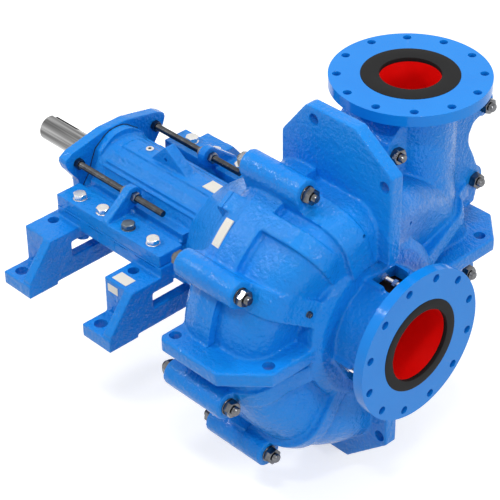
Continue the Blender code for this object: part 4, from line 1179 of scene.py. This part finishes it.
def add_feet(build, middle):
    """One pair of feet with their windows and the beam between them."""
    rear = middle - foot_length / 2
    front = middle + foot_length / 2
    add_box(build, front - beam_thickness, front, -upright_start - 0.02, upright_start + 0.02,
            beam_lift, beam_top)
    top = pedestal_top - shaft_height
    low = foot_tab_height - shaft_height
    for side in (-1, 1):
        for y0, y1, z0, z1 in ((upright_start, foot_tab_start, beam_lift, pedestal_top),
                               (ledge_split + 0.004, foot_tab_start, window_top, pedestal_top),
                               (pad_start, foot_reach, 0.0, foot_tab_height)):
            add_box(build, rear, front, side * y0, side * y1, z0, z1)
        outline = [(side * y, rise) for y, rise in (
            (foot_tab_start - 0.02, low - 0.01), (foot_tab_start - 0.02, top), (foot_tab_start, top),
            (foot_reach - 0.006, low + 0.012), (foot_reach - 0.006, low - 0.01))]
        add_plate(build, outline, gusset_thickness, across_frame(front - gusset_thickness / 2))


def make_base_frame():
    build = bmesh.new()
    rail_start = bar_rear_x - 0.002
    rail_end = foot_pitch / 2 + foot_length / 2
    face = casing_rear_x - gap
    inner_front = hood_front_radius - hood_wall - 0.010
    inner_rear = hood_rear_radius - hood_wall * 0.8
    add_ring(build, [(hood_rear_x, hood_mouth), (hood_rear_x, hood_rear_radius),
                     (casing_rear_x - 0.012, hood_front_radius), (face, hood_front_radius),
                     (face, inner_front), (casing_rear_x - 0.020, inner_front),
                     (hood_rear_x + hood_wall, inner_rear), (hood_rear_x + hood_wall, hood_mouth)])
    add_feet(build, -foot_pitch / 2)
    add_feet(build, foot_pitch / 2)
    for side in (-1, 1):
        add_box(build, rail_start, rail_end, side * ledge_split, side * rail_outer, rail_bottom, rail_top)
        add_box(build, rail_start, rail_front_x, side * rail_inner, side * (ledge_split + 0.002),
                rail_bottom - 0.012, wing_bottom - gap)
        for x in (clamp_bolt_xs[0], clamp_bolt_xs[-1]):
            place = Matrix.Translation((x, side * clamp_bolt_y, 0.0))
            add_round(build, clamp_boss_radius, clamp_boss_bottom, rail_bottom + 0.010, place, sides=40)
    nose = [(nose_start_x, hood_front_radius - 0.060), (nose_start_x + 0.020, nose_radius - 0.050),
            (nose_start_x + 0.045, nose_radius - 0.008), (face, nose_radius),
            (face, hood_front_radius - 0.015)]
    add_plate(build, nose, band_width, radial_frame(band_angle))
    add_box(build, rail_end - beam_thickness + 0.010, 0.480, -0.045, 0.045, beam_lift + 0.002,
            beam_top - 0.002)
    piece = mould("base_frame_casting", build, fine_grain, 4)
    cut_box(piece, face, 1.0, -0.6, 0.6, -0.3, 0.8)
    cut_box(piece, *hood_slot[:2], -0.5, 0.5, *hood_slot[2:])
    room = bmesh.new()
    add_turned(room, [(hood_rear_x + hood_wall, inner_rear - gap),
                      (casing_rear_x - 0.020, inner_front - 0.002)])
    carve(piece, room)
    holes = bmesh.new()
    for side in (-1, 1):
        for x in clamp_bolt_xs:
            add_round(holes, clamp_bolt_radius + bolt_clearance, rail_bottom - 0.02, rail_top + 0.03,
                      Matrix.Translation((x, side * clamp_bolt_y, 0.0)), sides=32)
        for middle in (-foot_pitch / 2, foot_pitch / 2):
            x = middle - foot_hole_back
            add_round(holes, foot_hole_radius, -0.02, foot_tab_height + 0.02,
                      Matrix.Translation((x, side * foot_hole_y, 0.0)), sides=40)
            add_round(holes, jack_hole_radius, window_top - 0.04, pedestal_top + 0.04,
                      Matrix.Translation((x, side * (upright_start - 0.001), 0.0)), sides=40)
        for first, last in seam_slots:
            add_box(holes, first, last, side * (rail_outer - 0.006), side * (rail_outer + 0.020),
                    *seam_slot_rise)
    carve(piece, holes)
    enamel(piece, "frame", "base_frame")


def make_clamp_bars():
    """The bars that hold the cartridge down, each with its rod ear."""
    bar_top = bar_bottom + bar_thickness - shaft_height
    edge = rail_outer - 0.0015
    foot = rail_inner + 0.006
    half = [(edge, bar_top - 0.010), (edge, bar_top + 0.006)]
    for k in range(17):
        y, rise = polar(35.0 + 155.0 * k / 16, ear_radius)
        half.append((rod_y + y, rod_rise + rise))
    half += [(rod_y - ear_radius + 0.004, rod_rise - 0.028), (foot, bar_top + 0.004), (foot, bar_top - 0.010)]
    for side, name in hands:
        build = bmesh.new()
        add_box(build, bar_rear_x, bar_front_x, side * rail_inner, side * rail_outer, bar_bottom,
                bar_bottom + bar_thickness)
        outline = [(side * y, rise) for y, rise in half]
        add_plate(build, outline, ear_thickness, across_frame(ear_front_x - ear_thickness / 2))
        piece = mould(f"clamp_bar_casting_{name}", build, fine_grain, 3)
        holes = bmesh.new()
        add_round(holes, rod_radius + rod_hole_clearance, -0.1, 0.1, along_shaft(side * rod_y, rod_rise),
                  sides=40)
        for x in clamp_bolt_xs:
            add_round(holes, clamp_bolt_radius + bolt_clearance, bar_bottom - 0.02,
                      bar_bottom + bar_thickness + 0.02,
                      Matrix.Translation((x, side * clamp_bolt_y, 0.0)), sides=32)
        carve(piece, holes)
        enamel(piece, "frame", f"clamp_bar_{name}")


# Bearing cartridge

def both_sides(half):
    """A half outline carried on over the middle line."""
    return half + [(-y, rise) for y, rise in reversed(half) if y > 0.0]


housing_half = [(0.0, 0.171), (0.030, 0.168), (0.050, 0.160), (0.099, 0.124), (0.117, 0.084), (0.136, 0.036),
                (0.160, 0.004), (0.165, -0.030), (0.120, -housing_radius + 0.004),
                (0.090, -housing_radius - 0.003)]


def make_housing():
    """The ribbed barrel with its flange, wings, lug and pad, and the gasket behind it."""
    build = bmesh.new()
    add_round(build, housing_radius, housing_rear_x + 0.002, housing_front_x, along_shaft())
    add_plate(build, both_sides(housing_half), 0.034, across_frame(housing_rear_x + gap + 0.017))
    add_round(build, housing_flange_radius, housing_front_x - 0.030, housing_front_x - 0.001, along_shaft())
    for side in (-1, 1):
        add_box(build, *wing_span, side * wing_inner, side * wing_outer, wing_bottom, bar_bottom - gap)
        for start, end, top in wing_steps:
            add_box(build, *wing_step_span, side * start, side * end, wing_bottom + 0.010, shaft_height + top)
    add_box(build, *spine_span, -spine_half, spine_half, shaft_height, shaft_height + spine_rise)
    add_ring(build, [(-0.262, 0.120), (-0.262, 0.150), (-0.250, 0.147), (-0.222, housing_radius - 0.001),
                     (-0.222, 0.120)], round_steps)
    for angle, rise, width in rib_shapes:
        for turn in (angle, 180.0 - angle):
            top = housing_radius + rise
            root = housing_radius - 0.010
            rib = list(zip(rib_xs, (root, top, top, root)))
            add_plate(build, rib, width, radial_frame(turn))
    foot = housing_radius - 0.020
    lug = [(breather_x - 0.026, foot), (breather_x - 0.026, breather_rise),
           (breather_x + 0.042, breather_rise), (lug_peak_x, lug_peak_rise),
           (lug_peak_x + 0.108, breather_rise - 0.002), (lug_peak_x + 0.120, foot)]
    add_plate(build, lug, lug_thickness, Matrix.Translation((0.0, lug_y, 0.0)) @ radial_frame(90.0))
    piece = mould("bearing_housing_casting", build, fine_grain, 3)
    seats = bmesh.new()
    inset = bearing_inset + bearing_width
    front_seat = housing_front_x - inset
    rear_seat = housing_rear_x + inset
    add_turned(seats, [(housing_front_x + 0.01, housing_bore), (front_seat, housing_bore),
                       (front_seat, housing_waist_bore), (rear_seat, housing_waist_bore),
                       (rear_seat, housing_bore), (housing_rear_x - 0.01, housing_bore)])
    carve(piece, seats)
    holes = bmesh.new()
    add_round(holes, breather_radius, shaft_height + 0.08, shaft_height + 0.3,
              Matrix.Translation((breather_x, breather_y, 0.0)), sides=32)
    low = lug_y - lug_thickness / 2
    bore = Matrix.Translation((lug_hole_x, low, shaft_height + lug_hole_rise)) @ Matrix.Rotation(
        math.radians(90.0), 4, "X")
    add_round(holes, lug_hole_radius, -0.010, 0.010, bore, sides=24)
    carve(piece, holes)
    enamel(piece, "cartridge", "bearing_housing")
    build = bmesh.new()
    outline = [(y * 1.008, rise * 1.008 + 0.0005) for y, rise in both_sides(housing_half)]
    add_plate(build, outline, gasket_thickness, across_frame(housing_rear_x))
    gasket = to_piece("end_plate_gasket", build)
    drill(gasket, housing_bore + 0.001, housing_rear_x - 0.02, housing_rear_x + 0.02, along_shaft())
    fit_out(gasket, "cartridge", gasket_paper, "black_rubber")


def make_end_plate():
    """The drive-end plate with its spigot and rod holes."""
    rear = housing_rear_x - end_plate_thickness
    build = bmesh.new()
    half = [(0.0, 0.178), (0.050, 0.178), (rod_y + 0.020, 0.147), (0.230, rod_rise + 0.030),
            (0.234, rod_rise + 0.014), (0.224, rod_rise - 0.014), (rod_y, 0.025), (rod_y - 0.004, -0.030),
            (0.140, -housing_radius + 0.020), (0.110, -housing_radius)]
    add_plate(build, both_sides(half), end_plate_thickness, across_frame(rear + end_plate_thickness / 2))
    add_round(build, housing_bore - 0.001, housing_rear_x - 0.005, housing_rear_x + bearing_inset - 0.001,
              along_shaft())
    piece = mould("drive_end_plate_casting", build, fine_grain, 3)
    for radius, start in ((bearing_seat - 0.004, -0.5), (0.085, housing_rear_x - 0.012)):
        drill(piece, radius, start, 0.0, along_shaft())
    holes = bmesh.new()
    for side in (-1, 1):
        add_round(holes, rod_radius + gap, -0.5, 0.0, along_shaft(side * rod_y, rod_rise), sides=40)
    carve(piece, holes)
    enamel(piece, "cartridge", "drive_end_plate")
    make_ring_piece("pump_end_cover_turned", [
        (housing_front_x + front_cover_thickness, cover_bore), (housing_front_x + gap, cover_bore),
        (housing_front_x - bearing_inset + gap, cover_bore + 0.025),
        (housing_front_x - bearing_inset + gap, housing_bore - gap),
        (housing_front_x + gap, housing_bore - gap), (housing_front_x + gap, front_cover_radius),
        (housing_front_x + front_cover_thickness, front_cover_radius)],
        "cartridge", blue_smooth_enamel, "blue_paint", 0.002, nodes=["pump_end_cover"])
    seat = shaft_height + breather_rise + gap
    build = bmesh.new()
    rim = breather_radius + breather_cap
    neck = breather_radius - gap
    place = upright_at(breather_x, breather_y)
    add_ring(build, [(seat - 0.020, breather_core), (seat - 0.020, neck), (seat, neck), (seat, rim),
                     (seat + 0.004, rim), (seat + 0.005, rim - 0.001), (seat + 0.005, breather_core)],
             48, place)
    fit_build("breather_plug", build, "cartridge", zinc_steel, "bright_steel", ["breather"], 25.0)
    build = bmesh.new()
    add_turned(build, [(seat - 0.030, breather_core), (seat + 0.002, breather_core)], 32, place)
    fit_build("breather_plug_core", build, "cartridge", black_ring_rubber, "black_rubber")


def make_bearings():
    """Outer races in the housing; inner races on the shaft, which also stand in for the rollers."""
    for start, name in ((housing_rear_x + bearing_inset, "drive"),
                        (housing_front_x - bearing_inset - bearing_width, "pump")):
        first = start + gap
        last = start + bearing_width - gap
        middle = (first + last) / 2
        make_ring_piece(f"outer_race_{name}", [
            (first, housing_bore - outer_race_wall * 0.5), (first, housing_bore - gap),
            (last, housing_bore - gap), (last, housing_bore - outer_race_wall * 0.5),
            (middle, housing_bore - outer_race_wall)], "cartridge", race_steel, "bright_steel", 0.0008,
            nodes=[f"bearing_outer_race_{name}"])
        rim = housing_bore - outer_race_wall * 0.5 - 0.0014
        make_ring_piece(f"inner_race_{name}", [
            (first, bearing_seat + gap), (first, rim), (middle, rim - outer_race_wall * 0.5), (last, rim),
            (last, bearing_seat + gap)], "rotor", race_steel, "bright_steel", 0.0008,
            nodes=[f"bearing_rollers_{name}"])


# Rotor

def make_shaft():
    """The shaft's steps with a long keyway, and what is clamped on it."""
    chamfer = 0.004
    first_race = housing_rear_x + bearing_inset
    last_race = housing_front_x - bearing_inset
    build = bmesh.new()
    add_turned(build, [
        (thread_end_x, thread_radius - chamfer), (thread_end_x - chamfer, thread_radius),
        (impeller_rear_x, thread_radius), (impeller_rear_x, sleeve_seat), (sleeve_rear_x, sleeve_seat),
        (sleeve_rear_x, shaft_step), (housing_front_x + 0.020, shaft_step),
        (housing_front_x + 0.020, bearing_seat), (last_race - bearing_width, bearing_seat),
        (last_race - bearing_width, shaft_waist), (first_race + bearing_width, shaft_waist),
        (first_race + bearing_width, bearing_seat), (first_race - 0.020, bearing_seat),
        (first_race - 0.020, shaft_radius), (shaft_end_x + chamfer, shaft_radius),
        (shaft_end_x, shaft_radius - chamfer)])
    piece = to_piece("shaft_turned", build)
    place = (Matrix.Translation((shaft_end_x + keyway_length / 2 - 0.001, 0.0, shaft_height))
             @ Matrix.Rotation(math.radians(-keyway_turn), 4, "X")
             @ Matrix.Translation((0.0, 0.0, shaft_radius - keyway_depth)))
    half = keyway_length / 2
    slot = bmesh.new()
    add_box(slot, -half, half - keyway_width / 2, -keyway_width / 2, keyway_width / 2, 0.0, 0.03)
    slot.transform(place)
    carve(piece, slot)
    drill(piece, keyway_width / 2 - 0.00001, 0.00001, 0.03,
          place @ Matrix.Translation((half - keyway_width / 2, 0.0, 0.0)), 40)
    fit_out(piece, "rotor", turned_steel, "bright_steel", ["shaft"], 25.0)
    # The faces inside the keyway take the dark steel, which paints the shade in the slot.
    piece.data.materials.append(milled_steel_painted_shade)
    back = place.inverted()
    for face in piece.data.polygons:
        spot = back @ face.center
        inside = abs(spot.x) < half + 0.001 and abs(spot.y) < keyway_width / 2 + 0.0005
        if inside and -0.001 < spot.z < keyway_depth - 0.0015:
            face.material_index = 1
    make_ring_piece("shaft_sleeve_ground", plain_ring(sleeve_rear_x + gap, impeller_rear_x - gap,
                                                      sleeve_seat + gap, sleeve_radius),
                    "rotor", sleeve_steel, "bright_steel", 0.001, nodes=["shaft_sleeve"])
    make_ring_piece("flinger_rubber", [
        (0.300, shaft_step + gap), (0.296, flinger_radius), (0.306, flinger_radius),
        (0.318, shaft_step + 0.012), (0.318, shaft_step + gap)],
        "rotor", black_ring_rubber, "black_rubber", 0.0008, nodes=["flinger"])
    make_ring_piece("lock_nut_turned", plain_ring(first_race - 0.014, first_race - gap, bearing_seat + gap,
                                                  lock_nut_radius),
                    "rotor", dark_nut_steel, "dark_steel", 0.001, nodes=["bearing_lock_nut"])


def vane_outline(start_angle):
    """One backward-curved blade between two spiral arcs."""
    outside = []
    inside = []
    for k in range(17):
        share = k / 16
        radius = vane_inner + (impeller_radius - 0.002 - vane_inner) * share
        angle = start_angle - vane_sweep * share
        half = math.degrees(vane_thickness / 2 / radius) * (0.75 + 0.5 * math.sin(math.pi * share)) * 1.5
        outside.append(polar(angle + half, radius))
        inside.append(polar(angle - half, radius))
    return outside + inside[::-1]


def make_impeller():
    """Two shrouds with the curved vanes between them."""
    front_x = discharge_x + liner_half_width - impeller_front_gap
    build = bmesh.new()
    add_turned(build, [(thread_end_x + 0.014, 0.026), (thread_end_x - 0.006, 0.055),
                       (impeller_rear_x + shroud, 0.110), (impeller_rear_x + shroud, impeller_radius),
                       (impeller_rear_x + gap, impeller_radius)])
    add_ring(build, [(front_x, impeller_eye), (front_x - shroud, impeller_eye + 0.006),
                     (front_x - shroud, impeller_radius), (front_x, impeller_radius)])
    width = front_x - impeller_rear_x - 2.0 * shroud + 0.008
    middle = (front_x + impeller_rear_x) / 2
    for k in range(vane_count):
        add_plate(build, vane_outline(360.0 * k / vane_count), width, across_frame(middle))
    piece = mould("impeller_casting", build, fine_grain, 3, 0.0)
    drill(piece, thread_radius + gap, impeller_rear_x - 0.01, thread_end_x + gap, along_shaft())
    fit_out(piece, "rotor", grey_iron, "cast_iron", ["impeller"])


# Stuffing box

def make_stuffing_box():
    """The gland housing in the back of the casing, with its packing, lantern ring and gland."""
    disc_front = discharge_x - liner_half_width
    liner_rear = disc_front - liner_wall
    rear = casing_rear_x - 0.012
    spigot = liner_disc_bore - 0.001
    make_ring_piece("stuffing_box_turned", [
        (box_rear_x, box_chamber), (box_rear_x, box_flange_radius), (box_rear_x + 0.022, box_flange_radius),
        (box_rear_x + 0.022, box_radius), (rear, box_radius), (rear, centre_bore),
        (liner_rear - gap, centre_bore), (liner_rear - gap, spigot), (disc_front - gap, spigot),
        (disc_front - gap, box_throat), (packing_end_x, box_throat), (packing_end_x, box_chamber)],
        "frame", grey_iron, "cast_iron", 0.0012, nodes=["stuffing_box"])
    inner = sleeve_radius + 0.0006
    outer = box_chamber - gap
    places = (("packing_front", packing_end_x - 0.040, packing_end_x, packing_braid, "packing_fibre"),
              ("lantern_ring", packing_end_x - 0.058, packing_end_x - 0.040, race_steel, "bright_steel"),
              ("packing_rear", box_rear_x + 0.018, packing_end_x - 0.058, packing_braid, "packing_fibre"))
    for name, first, last, finish, slot in places:
        make_ring_piece(f"{name}_ring", plain_ring(first + gap, last - gap, inner, outer), "frame", finish,
                        slot, 0.0015, nodes=[name])
    make_ring_piece("gland_turned", [
        (gland_rear_x, inner + 0.002), (gland_rear_x, gland_flange_radius),
        (gland_rear_x + 0.016, gland_flange_radius), (gland_rear_x + 0.016, outer),
        (box_rear_x + 0.018 - gap, outer), (box_rear_x + 0.018 - gap, inner + 0.002)],
        "frame", grey_iron, "cast_iron", 0.0012, nodes=["gland"])
    nut = hex_blank(0.019, 0.010)
    for number, side in enumerate((1, -1), 1):
        build = bmesh.new()
        rise = side * gland_bolt_circle
        add_turned(build, thread_profile(gland_rear_x - 0.016, box_rear_x + 0.018, gland_bolt_radius,
                                         gland_pitch), 24, beside_shaft(0.0, rise))
        add_copy(build, nut, along_shaft(0.0, rise, gland_rear_x - gap - 0.010))
        fit_build(f"gland_stud_{number}", build, "frame", zinc_steel, "dark_steel", [f"gland_bolt_{number}"],
                  25.0)


# Bare plates

def add_patch(build, low, high, angles, thickness):
    """A plate bent round the shaft line, between two places of x and radius."""
    steps = 10
    part = bmesh.new()
    rows = []
    section = (low, high, (high[0], high[1] + thickness), (low[0], low[1] + thickness))
    for k in range(steps + 1):
        angle = angles[0] + (angles[1] - angles[0]) * k / steps
        rows.append([part.verts.new((x, *polar(angle, radius))) for x, radius in section])
    join_rows(part, rows)
    close_ends(part, rows)
    into(build, part, to_shaft)


def make_bare_plates():
    slope = 0.45 / 1.2
    edge = casing_rear_x + dome_corner * 0.95
    ends = []
    for x in rating_plate_xs:
        ends.append((x, dome_radius(136.5) + rim_step - (edge - x) * slope))
    seats = [(x, radius - 0.0005) for x, radius in ends]
    build = bmesh.new()
    add_patch(build, seats[0], seats[1], rating_plate_angles, 0.0045)
    fit_build("blank_rating_plate", build, "frame", plate_metal, "bright_steel")
    build = bmesh.new()
    middle = Matrix.Translation(((ends[0][0] + ends[1][0]) / 2, (ends[0][1] + ends[1][1]) / 2, 0.0))
    for angle in rivet_angles:
        add_turned(build, [(0.0, 0.004), (0.0035, 0.0035), (0.0048, 0.0015)], 20,
                   radial_frame(angle) @ middle @ Matrix.Rotation(math.radians(90.0), 4, "Z"))
    fit_build("rating_plate_rivets", build, "frame", zinc_steel, "bright_steel")
    for name, body, corners in flat_plates:
        build = bmesh.new()
        add_box(build, *corners)
        fit_build(name, build, body, plate_metal, "bright_steel")



make_cover()
make_frame_plate()
make_discharge_flange()
make_joint_rings()
make_liners()
make_casing_bolts()
make_bush_studs()
make_base_frame()
make_clamp_bars()
make_clamp_bolts()
make_housing()
make_end_plate()
make_bearings()
make_adjusting_gear()
make_shaft()
make_impeller()
make_stuffing_box()
make_bare_plates()


# Stage, light and camera

def set_camera():
    """The camera at the picture's place: turned round the suction face's centre."""
    azimuth = math.radians(view_azimuth)
    elevation = math.radians(view_elevation)
    roll = math.radians(view_roll)
    back = Vector((math.sin(azimuth) * math.cos(elevation), -math.cos(azimuth) * math.cos(elevation),
                   math.sin(elevation)))
    side = Vector((math.cos(azimuth), math.sin(azimuth), 0.0))
    up = back.cross(side)
    right = side * math.cos(roll) + up * math.sin(roll)
    top = up * math.cos(roll) - side * math.sin(roll)
    aim = Vector((suction_face_x, 0.0, shaft_height))
    place = aim - right * view_right + top * view_up + back * view_distance
    camera = bpy.data.objects.new("camera", bpy.data.cameras.new("camera"))
    camera.data.sensor_width = film_width_mm
    camera.data.lens = film_width_mm * focal_pixels / picture_pixels
    turn = Matrix((right, top, back)).transposed().to_4x4()
    camera.matrix_world = Matrix.Translation(place) @ turn
    bpy.context.scene.collection.objects.link(camera)
    bpy.context.scene.camera = camera


def seen_plainly(tree):
    """The camera, and what shows in metal or through glass."""
    path = add_node(tree, "ShaderNodeLightPath")
    seen = path.outputs["Is Camera Ray"]
    for ray in ("Is Glossy Ray", "Is Transmission Ray"):
        either = add_node(tree, "ShaderNodeMath", {0: seen, 1: path.outputs[ray]}, operation="MAXIMUM")
        seen = either.outputs[0]
    return seen


def set_floor():
    """A white floor that the camera sees as lit paper, with the pump's soft shadow on it."""
    build = bmesh.new()
    add_box(build, -14.0, 15.0, -14.0, 14.0, floor_top - 0.02, floor_top)
    floor = to_piece("floor", build)
    material, tree, shader = new_finish("white_studio_floor", "#D2D2D2", Roughness=0.9,
                                        Specular_IOR_Level=0.0)
    glow = add_node(tree, "ShaderNodeMath", {0: seen_plainly(tree), 1: floor_glow}, operation="MULTIPLY")
    shader.inputs["Emission Color"].default_value = (1.0, 1.0, 1.0, 1.0)
    tree.links.new(glow.outputs[0], shader.inputs["Emission Strength"])
    floor.data.materials.append(material)


def add_lamp(name, place, aim, size, power):
    lamp = bpy.data.lights.new(name, "AREA")
    lamp.shape = "RECTANGLE"
    lamp.size = size[0]
    lamp.size_y = size[1]
    lamp.energy = power
    holder = bpy.data.objects.new(name, lamp)
    holder.location = place
    holder.rotation_euler = (Vector(aim) - Vector(place)).to_track_quat("-Z", "Y").to_euler()
    bpy.context.scene.collection.objects.link(holder)


def set_light():
    world = bpy.data.worlds.new("studio")
    world.use_nodes = True
    tree = world.node_tree
    ground = tree.nodes["Background"]
    level = add_node(tree, "ShaderNodeMapRange", {"Value": seen_plainly(tree), "To Min": sky_level,
                                                  "To Max": 1.0})
    ground.inputs["Color"].default_value = (1.0, 1.0, 1.0, 1.0)
    tree.links.new(level.outputs[0], ground.inputs["Strength"])
    bpy.context.scene.world = world
    for lamp in lamps:
        add_lamp(*lamp)


set_camera()
set_floor()
set_light()
bpy.context.scene.view_settings.view_transform = "Standard"
